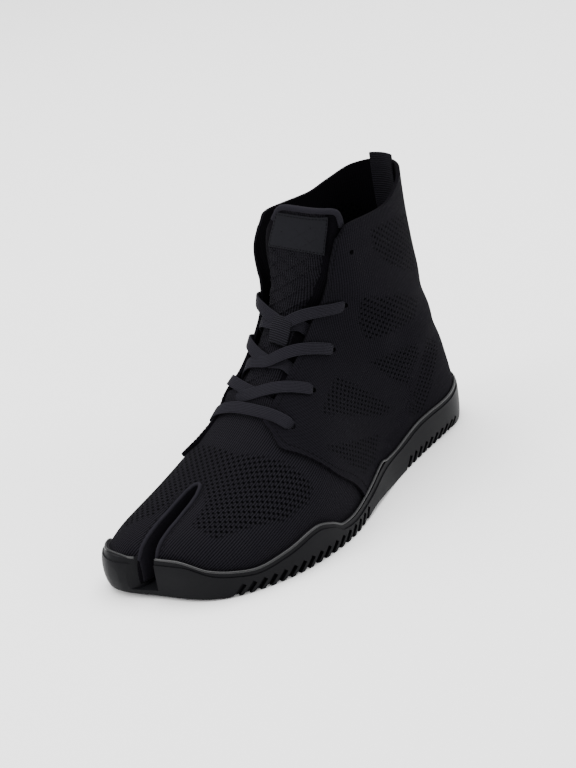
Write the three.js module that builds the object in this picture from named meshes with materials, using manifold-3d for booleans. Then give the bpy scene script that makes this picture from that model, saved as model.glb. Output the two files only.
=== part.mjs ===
import * as THREE from "three";
import { mergeVertices } from "three/addons/utils/BufferGeometryUtils.js";
import Module from "manifold-3d";

const wasm = await Module();
wasm.setup();

// A split-toe knitted high-top for the left foot, in millimetres.
// +X runs to the toe, +Y to the lateral side and +Z up. While it is drawn, x is 0 at the back of the
// heel and y is 0 on the line through the middle of the heel.

// Sizes that can be set by themselves
const LENGTH = 272;
const BALL_WIDTH = 104;
const HEEL_WIDTH = 58;
const COLLAR_WIDTH = 64;
const INSTEP_HEIGHT = 76;
const COLLAR_HEIGHT = 176;
const KNIT = 2.2;
const QUARTER_STEP = 1;
const RUBBER = 3.2;
const WALL_HEIGHT = 20;
const BASE = 5.5;
const INSOLE = 3.5;
const TOE_SPRING = 3;
const ARCH_RISE = 2.5;
const SPLIT_WIDTH = 10;
const GAP = 0.3;

// How finely the curved skin is cut
const STEPS_PER_ROW = 1.16;
const AROUND = 26;
const BLANK_STEPS = 40;
const AREA_STEPS = 14;

// Upright sections of the forefoot, from the toe tip to the instep. at is a share of LENGTH, under and
// ridge are shares of INSTEP_HEIGHT, and lateral, medial and lean are shares of BALL_WIDTH, with lean
// the sideways place of the ridge.
const VAMP = [
  { at: 0.987, under: 0.13, ridge: 0.24, lateral: -0.24, medial: -0.30, lean: -0.27, low: 2.2 },
  { at: 0.983, under: 0.06, ridge: 0.29, lateral: -0.21, medial: -0.335, lean: -0.265, low: 2.3 },
  { at: 0.972, under: 0, ridge: 0.35, lateral: -0.14, medial: -0.385, lean: -0.25, low: 2.6 },
  { at: 0.955, under: -0.05, ridge: 0.415, lateral: -0.035, medial: -0.42, lean: -0.22, low: 3 },
  { at: 0.93, under: -0.08, ridge: 0.465, lateral: 0.15, medial: -0.435, lean: -0.18, low: 3.6 },
  { at: 0.90, under: -0.10, ridge: 0.51, lateral: 0.27, medial: -0.445, lean: -0.15, low: 4.5 },
  { at: 0.86, under: -0.10, ridge: 0.555, lateral: 0.355, medial: -0.45, lean: -0.13, low: 5 },
  { at: 0.81, under: -0.10, ridge: 0.61, lateral: 0.42, medial: -0.45, lean: -0.12, low: 6 },
  { at: 0.75, under: -0.10, ridge: 0.695, lateral: 0.475, medial: -0.44, lean: -0.11, low: 6 },
  { at: 0.69, under: -0.10, ridge: 0.82, lateral: 0.50, medial: -0.41, lean: -0.09, low: 6 },
  { at: 0.63, under: -0.10, ridge: 0.965, lateral: 0.505, medial: -0.37, lean: -0.07, low: 6 },
];

// Sections that fan out from the heel to the instep. foot and ridge are shares of LENGTH, rise is a share
// of INSTEP_HEIGHT, height runs from 0 at INSTEP_HEIGHT to 1 at COLLAR_HEIGHT, lateral and medial are
// shares of HEEL_WIDTH, and widest is how far up its section the greatest width lies. low and high are
// how boxy the two ends are, from 2 for an ellipse.
const HEEL = [
  { foot: 0.56, rise: -0.104, ridge: 0.602, height: 0.08,
    lateral: 0.865, medial: -0.60, lean: -0.12, widest: 0.21, low: 6, high: 2.5 },
  { foot: 0.44, rise: -0.104, ridge: 0.567, height: 0.18,
    lateral: 0.71, medial: -0.47, lean: -0.11, widest: 0.22, low: 6, high: 2.7 },
  { foot: 0.325, rise: -0.104, ridge: 0.535, height: 0.28,
    lateral: 0.55, medial: -0.465, lean: -0.11, widest: 0.24, low: 6, high: 2.9 },
  { foot: 0.205, rise: -0.104, ridge: 0.51, height: 0.37,
    lateral: 0.465, medial: -0.485, lean: -0.11, widest: 0.28, low: 5, high: 3 },
  { foot: 0.10, rise: -0.104, ridge: 0.49, height: 0.45,
    lateral: 0.435, medial: -0.48, lean: -0.11, widest: 0.36, low: 4, high: 3 },
  { foot: 0.035, rise: -0.081, ridge: 0.476, height: 0.52,
    lateral: 0.44, medial: -0.485, lean: -0.11, widest: 0.44, low: 3.2, high: 3 },
  { foot: 0.011, rise: 0.116, ridge: 0.463, height: 0.58,
    lateral: 0.455, medial: -0.495, lean: -0.10, widest: 0.5, low: 2.6, high: 3.1 },
  { foot: 0.012, rise: 0.37, ridge: 0.454, height: 0.64,
    lateral: 0.475, medial: -0.51, lean: -0.10, widest: 0.55, low: 2.3, high: 3.2 },
];

// Sections of the shaft. back and front are shares of LENGTH, rise and height are shares of COLLAR_HEIGHT,
// and half is a share of COLLAR_WIDTH.
const SHAFT = [
  { back: 0.032, rise: 0.29, front: 0.449, height: 0.815,
    half: 0.465, lean: -0.08, widest: 0.62, low: 2.15, high: 3.4 },
  { back: 0.058, rise: 0.43, front: 0.443, height: 0.853,
    half: 0.48, lean: -0.07, widest: 0.67, low: 2.15, high: 3.6 },
  { back: 0.077, rise: 0.58, front: 0.438, height: 0.888,
    half: 0.49, lean: -0.05, widest: 0.71, low: 2.15, high: 3.6 },
  { back: 0.085, rise: 0.72, front: 0.431, height: 0.922,
    half: 0.495, lean: -0.03, widest: 0.73, low: 2.1, high: 3.5 },
  { back: 0.093, rise: 0.86, front: 0.422, height: 0.957,
    half: 0.5, lean: -0.015, widest: 0.74, low: 2.1, high: 3.3 },
  { back: 0.094, rise: 1.0, front: 0.415, height: 1.0,
    half: 0.5, lean: 0, widest: 0.74, low: 2.1, high: 3.2 },
  { back: 0.09, rise: 1.09, front: 0.415, height: 1.09,
    half: 0.505, lean: 0, widest: 0.74, low: 2.1, high: 3.2 },
];

// Height of the widest place of the forefoot, and how boxy its upper half is
const VAMP_WIDEST = 12;
const VAMP_HIGH = 2.4;

function vampSection(row) {
  const under = row.under * INSTEP_HEIGHT;
  const ridge = row.ridge * INSTEP_HEIGHT;
  return {
    lowX: row.at * LENGTH,
    lowZ: under,
    highX: row.at * LENGTH,
    highZ: ridge,
    lateral: row.lateral * BALL_WIDTH,
    medial: row.medial * BALL_WIDTH,
    lean: row.lean * BALL_WIDTH,
    widest: Math.min(0.5, (VAMP_WIDEST - under) / (ridge - under)),
    low: row.low,
    high: VAMP_HIGH,
  };
}

function heelSection(row) {
  return {
    lowX: row.foot * LENGTH,
    lowZ: row.rise * INSTEP_HEIGHT,
    highX: row.ridge * LENGTH,
    highZ: INSTEP_HEIGHT + row.height * (COLLAR_HEIGHT - INSTEP_HEIGHT),
    lateral: row.lateral * HEEL_WIDTH,
    medial: row.medial * HEEL_WIDTH,
    lean: row.lean * HEEL_WIDTH,
    widest: row.widest,
    low: row.low,
    high: row.high,
  };
}

function shaftSection(row) {
  return {
    lowX: row.back * LENGTH,
    lowZ: row.rise * COLLAR_HEIGHT,
    highX: row.front * LENGTH,
    highZ: row.height * COLLAR_HEIGHT,
    lateral: row.half * COLLAR_WIDTH,
    medial: -row.half * COLLAR_WIDTH,
    lean: row.lean * COLLAR_WIDTH,
    widest: row.widest,
    low: row.low,
    high: row.high,
  };
}

const ROWS = [...VAMP.map(vampSection), ...HEEL.map(heelSection), ...SHAFT.map(shaftSection)];
const LAST_ROW = ROWS.length - 1;

// One smooth section at row number s, which may lie between two rows
function section(s) {
  const i = Math.min(LAST_ROW - 1, Math.max(0, Math.floor(s)));
  const t = s - i;
  const rows = [ROWS[Math.max(0, i - 1)], ROWS[i], ROWS[i + 1], ROWS[Math.min(LAST_ROW, i + 2)]];
  const result = {};
  for (const key of Object.keys(rows[0])) {
    const [a, b, c, d] = rows.map((row) => row[key]);
    const curve = 2 * a - 5 * b + 4 * c - d;
    result[key] = 0.5 * (2 * b + (c - a) * t + curve * t * t + (3 * b - a - 3 * c + d) * t * t * t);
  }
  return result;
}

// Where the split between the toes runs, and how far the toes round down beside it
const SPLIT_WEB = { at: 0.79, aside: -0.058 };
const SPLIT_TIP = { at: 1, aside: -0.08 };
const SPLIT_DIP = 2.5;
const DIP_REACH = 9;
const DIP_START = 0.1;

function splitY(x) {
  const t = (x / LENGTH - SPLIT_WEB.at) / (SPLIT_TIP.at - SPLIT_WEB.at);
  return THREE.MathUtils.lerp(SPLIT_WEB.aside, SPLIT_TIP.aside, t) * BALL_WIDTH;
}

function dip(x, y, up) {
  const ahead = THREE.MathUtils.smoothstep(x / LENGTH, SPLIT_WEB.at, SPLIT_WEB.at + DIP_START);
  const away = (y - splitY(x)) / DIP_REACH;
  return SPLIT_DIP * ahead * Math.max(0, up) * Math.exp(-away * away);
}

// A point on the skin: s is the row number and a goes round from 0 on the ridge over the lateral side to
// 0.5 underneath or at the back, and over the medial side to 1.
function bare(s, a) {
  const cut = section(s);
  const turn = a * 2 * Math.PI;
  const side = Math.sin(turn);
  const up = Math.cos(turn);
  const power = 2 / (up > 0 ? cut.high : cut.low);
  const reach = up > 0 ? 1 - cut.widest : cut.widest;
  const along = cut.widest + Math.sign(up) * reach * Math.abs(up) ** power;
  const half = (cut.lateral - cut.medial) / 2;
  const middle = (cut.lateral + cut.medial) / 2;
  const drift = up > 0 ? (cut.lean - middle) * up * up : 0;
  const x = THREE.MathUtils.lerp(cut.lowX, cut.highX, along);
  const y = middle + drift + Math.sign(side) * half * Math.abs(side) ** power;
  const z = THREE.MathUtils.lerp(cut.lowZ, cut.highZ, along);
  return new THREE.Vector3(x, y, z - dip(x, y, up));
}

const PROBE_ROW = 0.02;
const PROBE_TURN = 0.004;

function outward(s, a) {
  const before = Math.max(0, s - PROBE_ROW);
  const after = Math.min(LAST_ROW, s + PROBE_ROW);
  const along = bare(after, a).sub(bare(before, a));
  const around = bare(s, a + PROBE_TURN).sub(bare(s, a - PROBE_TURN));
  return around.cross(along).normalize();
}

function skin(s, a, out = 0) {
  return bare(s, a).addScaledVector(outward(s, a), out);
}

// Value of one column of a table at x, eased from row to row
function along(table, key, column, x) {
  const last = table.length - 1;
  let i = 0;
  while (i < last - 1 && table[i + 1][key] < x) i++;
  const t = THREE.MathUtils.smoothstep(x, table[i][key], table[i + 1][key]);
  return THREE.MathUtils.lerp(table[i][column], table[i + 1][column], t);
}

// Solids

function toManifold(geometry) {
  geometry.deleteAttribute("normal");
  geometry.deleteAttribute("uv");
  const merged = mergeVertices(geometry, 1e-4);
  const vertProperties = new Float32Array(merged.attributes.position.array);
  const triVerts = new Uint32Array(merged.index.array);
  return new wasm.Manifold(new wasm.Mesh({ numProp: 3, vertProperties, triVerts }));
}

function toMesh(name, solid, material) {
  const { vertProperties, triVerts } = solid.getMesh();
  const geometry = new THREE.BufferGeometry();
  geometry.setAttribute("position", new THREE.BufferAttribute(vertProperties, 3));
  geometry.setIndex(new THREE.BufferAttribute(triVerts, 1));
  geometry.computeVertexNormals();
  const mesh = new THREE.Mesh(geometry, material);
  mesh.name = name;
  return mesh;
}

function volume(points, faces) {
  let sum = 0;
  for (let i = 0; i < faces.length; i += 3) {
    const [a, b, c] = [points[faces[i]], points[faces[i + 1]], points[faces[i + 2]]];
    sum += a.dot(b.clone().cross(c));
  }
  return sum;
}

// A closed solid through rings of as many points each. An end is closed by strips between a ring's first
// points and its last ones.
function loft(rings) {
  const count = rings[0].length;
  const points = rings.flat();
  const faces = [];
  const quad = (a, b, c, d) => faces.push(a, b, c, a, c, d);
  for (let i = 0; i < rings.length - 1; i++) {
    for (let j = 0; j < count; j++) {
      const here = i * count + j;
      const next = i * count + ((j + 1) % count);
      quad(here, next, next + count, here + count);
    }
  }
  const end = points.length - count;
  for (let j = 0; j < count / 2 - 1; j++) {
    quad(j + 1, j, count - 1 - j, count - 2 - j);
    quad(end + j, end + j + 1, end + count - 2 - j, end + count - 1 - j);
  }
  if (volume(points, faces) < 0) faces.reverse();
  const geometry = new THREE.BufferGeometry().setFromPoints(points);
  geometry.setIndex(faces);
  return toManifold(geometry);
}

// The whole form of the foot, grown outwards by out
function form(out) {
  const steps = Math.round(LAST_ROW * STEPS_PER_ROW);
  const rings = [];
  for (let i = 0; i <= steps; i++) {
    const ring = [];
    for (let j = 0; j < AROUND; j++) ring.push(skin((i / steps) * LAST_ROW, (j + 0.5) / AROUND, out));
    rings.push(ring);
  }
  return loft(rings);
}

// A thick piece of the skin that reaches DEEP in and out. place gives the row and turn at p along and
// q across.
const DEEP = 8;

function region(place, stepsAcross) {
  const rings = [];
  for (let i = 0; i <= AREA_STEPS; i++) {
    const outer = [];
    const inner = [];
    for (let j = 0; j <= stepsAcross; j++) {
      const [s, a] = place(i / AREA_STEPS, j / stepsAcross);
      outer.push(skin(s, a, DEEP));
      inner.push(skin(s, a, -DEEP));
    }
    rings.push([...outer, ...inner.reverse()]);
  }
  return loft(rings);
}

// A layer of the form between two depths, cut to a region
function layer(area, inside, outside) {
  return form(outside).subtract(form(inside)).intersect(area);
}

// All that lies between two heights, each worked out from x
function between(low, high) {
  const rings = [];
  for (let i = 0; i <= BLANK_STEPS; i++) {
    const x = THREE.MathUtils.lerp(-0.1, 1.1, i / BLANK_STEPS) * LENGTH;
    rings.push([
      new THREE.Vector3(x, -BALL_WIDTH, low(x)),
      new THREE.Vector3(x, BALL_WIDTH, low(x)),
      new THREE.Vector3(x, BALL_WIDTH, high(x)),
      new THREE.Vector3(x, -BALL_WIDTH, high(x)),
    ]);
  }
  return loft(rings);
}

const sky = () => 2 * COLLAR_HEIGHT;

// Split between the big toe and the other toes: half is half its width as a share of SPLIT_WIDTH
const SPLIT = [
  { at: 0.79, half: 0.06 },
  { at: 0.80, half: 0.28 },
  { at: 0.815, half: 0.42 },
  { at: 0.84, half: 0.48 },
  { at: 0.90, half: 0.5 },
  { at: 0.945, half: 0.48 },
  { at: 0.96, half: 0.5 },
  { at: 0.975, half: 0.72 },
  { at: 1.0, half: 1.4 },
  { at: 1.03, half: 1.9 },
];

function split(out, low) {
  const rims = SPLIT.map((row, i) => {
    const x = row.at * LENGTH - (i === 0 ? out : 0);
    return { x, y: splitY(x), half: row.half * SPLIT_WIDTH + out };
  });
  const outline = new THREE.Shape([
    ...rims.map((rim) => new THREE.Vector2(rim.x, rim.y + rim.half)),
    ...rims.reverse().map((rim) => new THREE.Vector2(rim.x, rim.y - rim.half)),
  ]);
  const geometry = new THREE.ExtrudeGeometry(outline, { depth: COLLAR_HEIGHT, bevelEnabled: false });
  return toManifold(geometry.translate(0, 0, low));
}

// Sole

// Height of the rubber wall's wavy top edge, as a share of WALL_HEIGHT
const WALL = [
  { at: 0, top: 1.35 },
  { at: 0.09, top: 1.2 },
  { at: 0.21, top: 1.11 },
  { at: 0.30, top: 0.9 },
  { at: 0.41, top: 0.78 },
  { at: 0.49, top: 0.61 },
  { at: 0.565, top: 0.53 },
  { at: 0.61, top: 0.6 },
  { at: 0.645, top: 0.9 },
  { at: 0.685, top: 1.08 },
  { at: 0.77, top: 0.83 },
  { at: 0.835, top: 0.67 },
  { at: 0.88, top: 0.77 },
  { at: 0.915, top: 0.92 },
  { at: 0.945, top: 1.22 },
  { at: 1, top: 1.25 },
];
const SPRING_START = 0.8;
const ARCH = { from: 0.34, to: 0.57 };
const LIP_HEIGHT = 3;
const LIP_STEP = 0.7;

// Notches between the lugs, and the rows and turns between which they run
const LUG = { pitch: 10.5, width: 3.6, depth: 3, height: 7, slant: 0.6 };
const LUG_RUNS = [
  { turn: 0.25, from: 5.9, to: 11.6 },
  { turn: 0.75, from: 5.5, to: 11.2 },
  { turn: 0.34, from: 13.3, to: 15.9 },
  { turn: 0.66, from: 13.3, to: 15.9 },
];

// Grooves across the ball of the foot, where the sole bends
const FLEX = { count: 4, first: 0.66, pitch: 0.065, width: 2.4, depth: 1.6, span: 0.7 };

function spring(x) {
  const rise = Math.max(0, x / LENGTH - SPRING_START) / (1 - SPRING_START);
  return TOE_SPRING * rise * rise;
}

function ground(x) {
  const t = THREE.MathUtils.clamp((x / LENGTH - ARCH.from) / (ARCH.to - ARCH.from), 0, 1);
  return spring(x) + ARCH_RISE * Math.sin(t * Math.PI) ** 2;
}

const bed = (x) => BASE + spring(x);
const wallTop = (x) => along(WALL, "at", "top", x / LENGTH) * WALL_HEIGHT;

// Points a pitch apart along the sole's lower edge on one side, with the direction of the edge
function walk(turn, from, to, pitch) {
  const stops = [];
  let last = skin(from, turn, RUBBER);
  let gone = pitch;
  for (let s = from; s < to; s += PROBE_ROW) {
    const here = skin(s, turn, RUBBER);
    gone += here.distanceTo(last);
    if (gone >= pitch) {
      const heading = skin(s + PROBE_ROW, turn, RUBBER).sub(here).setZ(0).normalize();
      stops.push({ here, heading });
      gone = 0;
    }
    last = here;
  }
  return stops;
}

// One slanted notch between two lugs
function notch({ here, heading }) {
  const geometry = new THREE.BoxGeometry(LUG.width, 2 * LUG.depth, 2 * LUG.height);
  geometry.rotateY(LUG.slant);
  geometry.rotateZ(Math.atan2(heading.y, heading.x));
  return toManifold(geometry.translate(here.x, here.y, ground(here.x)));
}

function notches() {
  return LUG_RUNS.flatMap(({ turn, from, to }) => walk(turn, from, to, LUG.pitch).map(notch));
}

function flexGrooves() {
  const grooves = [];
  for (let k = 0; k < FLEX.count; k++) {
    const x = (FLEX.first + k * FLEX.pitch) * LENGTH;
    const geometry = new THREE.BoxGeometry(FLEX.width, FLEX.span * BALL_WIDTH, 2 * FLEX.depth);
    grooves.push(toManifold(geometry.translate(x, 0, ground(x))));
  }
  return grooves;
}

function outsole() {
  const lower = form(RUBBER).intersect(between(ground, (x) => wallTop(x) - LIP_HEIGHT));
  const upper = form(RUBBER - LIP_STEP).intersect(between(bed, wallTop));
  const cavity = upperSkin(GAP).intersect(between(bed, sky));
  let sole = lower.add(upper).subtract(cavity).subtract(split(0, BASE));
  for (const cut of [...notches(), ...flexGrooves()]) sole = sole.subtract(cut);
  return sole;
}

function insole() {
  const slab = between((x) => bed(x) + GAP, (x) => bed(x) + GAP + INSOLE);
  return form(-KNIT - GAP).intersect(slab).subtract(split(KNIT + GAP, 0));
}

// Upper

// Front edge of the two quarters: the row where it runs at a turn counted from the ridge
const QUARTER_FRONT = [
  { turn: 0, lateral: 10.2, medial: 9.2 },
  { turn: 0.064, lateral: 9.87, medial: 8.75 },
  { turn: 0.097, lateral: 9.6, medial: 8.5 },
  { turn: 0.125, lateral: 9.85, medial: 8.75 },
  { turn: 0.19, lateral: 10.76, medial: 9.7 },
  { turn: 0.25, lateral: 11.6, medial: 10.6 },
  { turn: 0.5, lateral: 12.3, medial: 11.4 },
];

// Free edges of the eyestays, as turns counted from the ridge
const EYESTAY = [
  { row: 8.6, lateral: 0.048, medial: 0.055 },
  { row: 10, lateral: 0.048, medial: 0.062 },
  { row: 11.5, lateral: 0.06, medial: 0.07 },
  { row: 13.3, lateral: 0.082, medial: 0.08 },
  { row: 15.2, lateral: 0.094, medial: 0.09 },
  { row: 17.9, lateral: 0.119, medial: 0.11 },
  { row: 19.5, lateral: 0.131, medial: 0.125 },
  { row: 21.2, lateral: 0.15, medial: 0.145 },
  { row: 22.3, lateral: 0.163, medial: 0.165 },
  { row: 23.4, lateral: 0.192, medial: 0.195 },
  { row: 25, lateral: 0.2, medial: 0.2 },
];
const THROAT_FOOT = { medial: 8.6, lateral: 9.95 };

// The vamp runs on between the free edges of the eyestays, under the first lace
const VAMP_END = { from: 7.5, to: 10.8, half: 0.12 };

// Topline of the collar: the row where it runs at a turn counted from the ridge
const TOPLINE = [
  { turn: 0, row: 22.3 },
  { turn: 0.163, row: 22.3 },
  { turn: 0.195, row: 23.1 },
  { turn: 0.23, row: 23.3 },
  { turn: 0.31, row: 23.45 },
  { turn: 0.35, row: 23.7 },
  { turn: 0.41, row: 24 },
  { turn: 0.5, row: 24.1 },
];

// Lace holes, from the toe up
const HOLE_RADIUS = 1.8;
const HOLES = [
  { lateral: 10.6, lateralTurn: 0.101, medial: 9.9, medialTurn: 0.107 },
  { lateral: 12.44, lateralTurn: 0.125, medial: 11.9, medialTurn: 0.122 },
  { lateral: 14.61, lateralTurn: 0.146, medial: 14.2, medialTurn: 0.14 },
  { lateral: 17.56, lateralTurn: 0.165, medial: 17.3, medialTurn: 0.16 },
  { lateral: 21.45, lateralTurn: 0.22, medial: 21.4, medialTurn: 0.22 },
];

// The quarters meet behind the heel, where each runs a little past the middle
const QUARTER_END = 0.515;
const SIDES = [
  { name: "lateral", sign: 1 },
  { name: "medial", sign: -1 },
];

// Where a quarter covers the form, set forward by some rows
function quarter({ name, sign }, forward) {
  const place = (p, q) => {
    const turn = q * QUARTER_END;
    const front = along(QUARTER_FRONT, "turn", name, turn) - forward;
    return [THREE.MathUtils.lerp(front, LAST_ROW, p), sign * turn];
  };
  return region(place, 11);
}

// The upper's outside with its quarters, grown by out. Its room in the sole also reaches further forward.
const ROOM = 0.05;

function upperSkin(out) {
  const forward = out > 0 ? ROOM : 0;
  const stepped = form(QUARTER_STEP + out);
  return SIDES.reduce((solid, side) => solid.add(stepped.intersect(quarter(side, forward))), form(out));
}

function vampEnd() {
  const place = (p, q) => [
    THREE.MathUtils.lerp(VAMP_END.from, VAMP_END.to, p),
    THREE.MathUtils.lerp(-VAMP_END.half, VAMP_END.half, q),
  ];
  return form(0).intersect(region(place, 4));
}

function throat() {
  const place = (p, q) => {
    const foot = THREE.MathUtils.lerp(THROAT_FOOT.medial, THROAT_FOOT.lateral, q);
    const s = THREE.MathUtils.lerp(foot, LAST_ROW, p);
    const medial = along(EYESTAY, "row", "medial", s);
    const lateral = along(EYESTAY, "row", "lateral", s);
    return [s, THREE.MathUtils.lerp(-medial, lateral, q)];
  };
  return region(place, 4).subtract(vampEnd());
}

// Everything above the topline
function aboveCollar() {
  const ring = [];
  for (let j = 0; j < AROUND; j++) {
    const turn = (j + 0.5) / AROUND;
    const row = along(TOPLINE, "turn", "row", Math.min(turn, 1 - turn));
    ring.push(skin(row, turn, 4 * KNIT));
  }
  const lift = new THREE.Vector3(0, 0, COLLAR_HEIGHT);
  return loft([ring, ring.map((point) => point.clone().add(lift))]);
}

function punch(s, a) {
  const geometry = new THREE.CylinderGeometry(HOLE_RADIUS, HOLE_RADIUS, 6 * KNIT, 12);
  const turned = new THREE.Quaternion().setFromUnitVectors(new THREE.Vector3(0, 1, 0), outward(s, a));
  const { x, y, z } = bare(s, a);
  return toManifold(geometry.applyQuaternion(turned).translate(x, y, z));
}

function upper() {
  const hollow = form(-KNIT).subtract(split(KNIT, 0));
  let solid = upperSkin(0).subtract(split(0, -BALL_WIDTH)).subtract(hollow);
  solid = solid.subtract(aboveCollar()).subtract(throat());
  solid = solid.intersect(between((x) => bed(x) + GAP, sky));
  for (const hole of HOLES) {
    solid = solid.subtract(punch(hole.lateral, hole.lateralTurn));
    solid = solid.subtract(punch(hole.medial, -hole.medialTurn));
  }
  return solid;
}

// Tongue and what is sewn on it

const TONGUE = 3.5;
const TONGUE_ROWS = { foot: 8.2, top: 24.1 };
const TONGUE_OVERLAP = 0.03;
const UNDER_KNIT = -KNIT - GAP;
const WEBBING = 1.2;

function tongue() {
  const place = (p, q) => {
    const s = THREE.MathUtils.lerp(TONGUE_ROWS.foot, TONGUE_ROWS.top, p);
    const medial = along(EYESTAY, "row", "medial", s) + TONGUE_OVERLAP;
    const lateral = along(EYESTAY, "row", "lateral", s) + TONGUE_OVERLAP;
    return [s, THREE.MathUtils.lerp(-medial, lateral, q)];
  };
  return layer(region(place, 4), UNDER_KNIT - TONGUE, UNDER_KNIT);
}

// A flat piece on the tongue between two rows and two turns
function onTongue({ from, to, medial, lateral }) {
  const place = (p, q) => [THREE.MathUtils.lerp(from, to, p), THREE.MathUtils.lerp(-medial, lateral, q)];
  return layer(region(place, 4), UNDER_KNIT + GAP, UNDER_KNIT + GAP + WEBBING);
}

const LABEL = { from: 20.9, to: 23.8, medial: 0.07, lateral: 0.11 };
const KEEPER = { from: 13.7, to: 15.6, medial: 0.035, lateral: 0.045 };

// Webbing inside the back of the collar, with a tab that stands above it
const TAB = { from: 23, to: 24.3, half: 0.05 };

function heelTab() {
  const place = (p, q) => [
    THREE.MathUtils.lerp(TAB.from, TAB.to, p),
    THREE.MathUtils.lerp(0.5 - TAB.half, 0.5 + TAB.half, q),
  ];
  return layer(region(place, 2), UNDER_KNIT - WEBBING, UNDER_KNIT);
}

// Laces

const LACE = { width: 7, thickness: 1.2, steps: 8 };
const LACE_HEIGHT = QUARTER_STEP + 1.2;
const LACE_START = { up: 0.95, inside: 0.02 };

// A flat strand over the skin from one row and turn to another
function strand(from, to) {
  const middle = LACE_HEIGHT + LACE.thickness / 2;
  const spots = [];
  for (let i = 0; i <= LACE.steps; i++) {
    const t = i / LACE.steps;
    const s = THREE.MathUtils.lerp(from.row, to.row, t);
    const a = THREE.MathUtils.lerp(from.turn, to.turn, t);
    spots.push({ centre: skin(s, a, middle), up: outward(s, a) });
  }
  const rings = spots.map(({ centre, up }, i) => {
    const before = spots[Math.max(0, i - 1)].centre;
    const after = spots[Math.min(LACE.steps, i + 1)].centre;
    const wide = after.clone().sub(before).cross(up).setLength(LACE.width / 2);
    const thick = up.clone().setLength(LACE.thickness / 2);
    return [
      centre.clone().add(wide).add(thick),
      centre.clone().sub(wide).add(thick),
      centre.clone().sub(wide).sub(thick),
      centre.clone().add(wide).sub(thick),
    ];
  });
  return loft(rings);
}

function laceBar() {
  const [hole] = HOLES;
  return strand({ row: hole.medial, turn: -hole.medialTurn }, { row: hole.lateral, turn: hole.lateralTurn });
}

// Two strands that come from under the eyestays at one pair of holes and cross to the next pair
function laceCross(k) {
  const from = HOLES[k];
  const to = HOLES[k + 1];
  const medialEdge = along(EYESTAY, "row", "medial", from.medial) - LACE_START.inside;
  const lateralEdge = along(EYESTAY, "row", "lateral", from.lateral) - LACE_START.inside;
  const toLateral = strand(
    { row: from.medial + LACE_START.up, turn: -medialEdge },
    { row: to.lateral, turn: to.lateralTurn },
  );
  const toMedial = strand(
    { row: from.lateral + LACE_START.up, turn: lateralEdge },
    { row: to.medial, turn: -to.medialTurn },
  );
  return toLateral.add(toMedial);
}

// Materials

const paint = (color, roughness) => new THREE.MeshStandardMaterial({ color, roughness, metalness: 0 });
const knitCloth = paint(0x26262a, 0.9);
const rubber = paint(0x303034, 0.55);
const webbing = paint(0x1c1c1f, 0.85);
const laceCord = paint(0x2e2e33, 0.8);
const foam = paint(0x1b1b1d, 0.95);

const shoe = new THREE.Group();
shoe.add(
  toMesh("outsole", outsole(), rubber),
  toMesh("insole", insole(), foam),
  toMesh("upper", upper(), knitCloth),
  toMesh("tongue", tongue(), knitCloth),
  toMesh("tongue_label", onTongue(LABEL), webbing),
  toMesh("lace_keeper", onTongue(KEEPER), webbing),
  toMesh("heel_tab", heelTab(), webbing),
  toMesh("lace_bar", laceBar(), laceCord),
  toMesh("lace_cross_1", laceCross(0), laceCord),
  toMesh("lace_cross_2", laceCross(1), laceCord),
  toMesh("lace_cross_3", laceCross(2), laceCord),
);

// The origin lies under the middle of the shoe, on the floor
const box = new THREE.Box3().setFromObject(shoe);
const middle = box.getCenter(new THREE.Vector3());
shoe.position.set(-middle.x, -middle.y, -box.min.z);

export default shoe;
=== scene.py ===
# %% [markdown]
# # A knitted split-toe sneaker
# The real shoe is a knitted sock-like vamp with two thicker knitted quarters laid over it, glued into a
# moulded rubber cup sole. Every curved piece here is a flat bmesh grid whose vertices are moved onto one
# shared skin, so that all the layers stay parallel, as layers of cloth do over one last.

import bmesh
import bpy
import numpy as np
from mathutils import Matrix, Vector


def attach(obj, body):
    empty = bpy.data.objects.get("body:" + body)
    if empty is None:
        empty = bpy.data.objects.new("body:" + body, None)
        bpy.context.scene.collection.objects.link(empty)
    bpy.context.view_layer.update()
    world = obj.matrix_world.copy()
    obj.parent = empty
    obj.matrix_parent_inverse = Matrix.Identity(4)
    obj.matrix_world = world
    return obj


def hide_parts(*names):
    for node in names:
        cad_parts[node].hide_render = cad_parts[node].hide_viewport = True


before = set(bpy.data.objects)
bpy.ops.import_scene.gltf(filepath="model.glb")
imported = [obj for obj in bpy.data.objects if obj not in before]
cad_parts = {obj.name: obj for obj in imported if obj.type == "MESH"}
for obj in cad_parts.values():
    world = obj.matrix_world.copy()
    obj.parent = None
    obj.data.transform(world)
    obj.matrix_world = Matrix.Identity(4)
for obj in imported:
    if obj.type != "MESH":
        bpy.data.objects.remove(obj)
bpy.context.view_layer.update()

# %% [markdown]
# ## The camera
# The shoe is worked out in millimetres from the back of its heel. The camera stands where the photo's did,
# in front of the toes on the lateral side, above the shoe, and rolled, because the real shoe was tipped.

# %% Place the camera
MIDDLE = np.array([135.65, 2.87, 0.0])
MM = 0.001
AZIMUTH, ELEVATION, ROLL = np.radians([46.0, 24.73, -10.03])
DISTANCE = 1059.88
TARGET = np.array([135.0, 0.0, 80.0])
OFF_CENTRE = (1.62, 3.24)


def to_frame(points):
    return (np.asarray(points) - MIDDLE) * MM


def camera_axes():
    level = np.cos(ELEVATION)
    back = np.array([np.cos(AZIMUTH) * level, np.sin(AZIMUTH) * level, np.sin(ELEVATION)])
    right = np.cross([0, 0, 1], back)
    right /= np.linalg.norm(right)
    up = np.cross(back, right)
    turn, lift = np.cos(ROLL), np.sin(ROLL)
    return right * turn + up * lift, up * turn - right * lift, back


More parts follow.
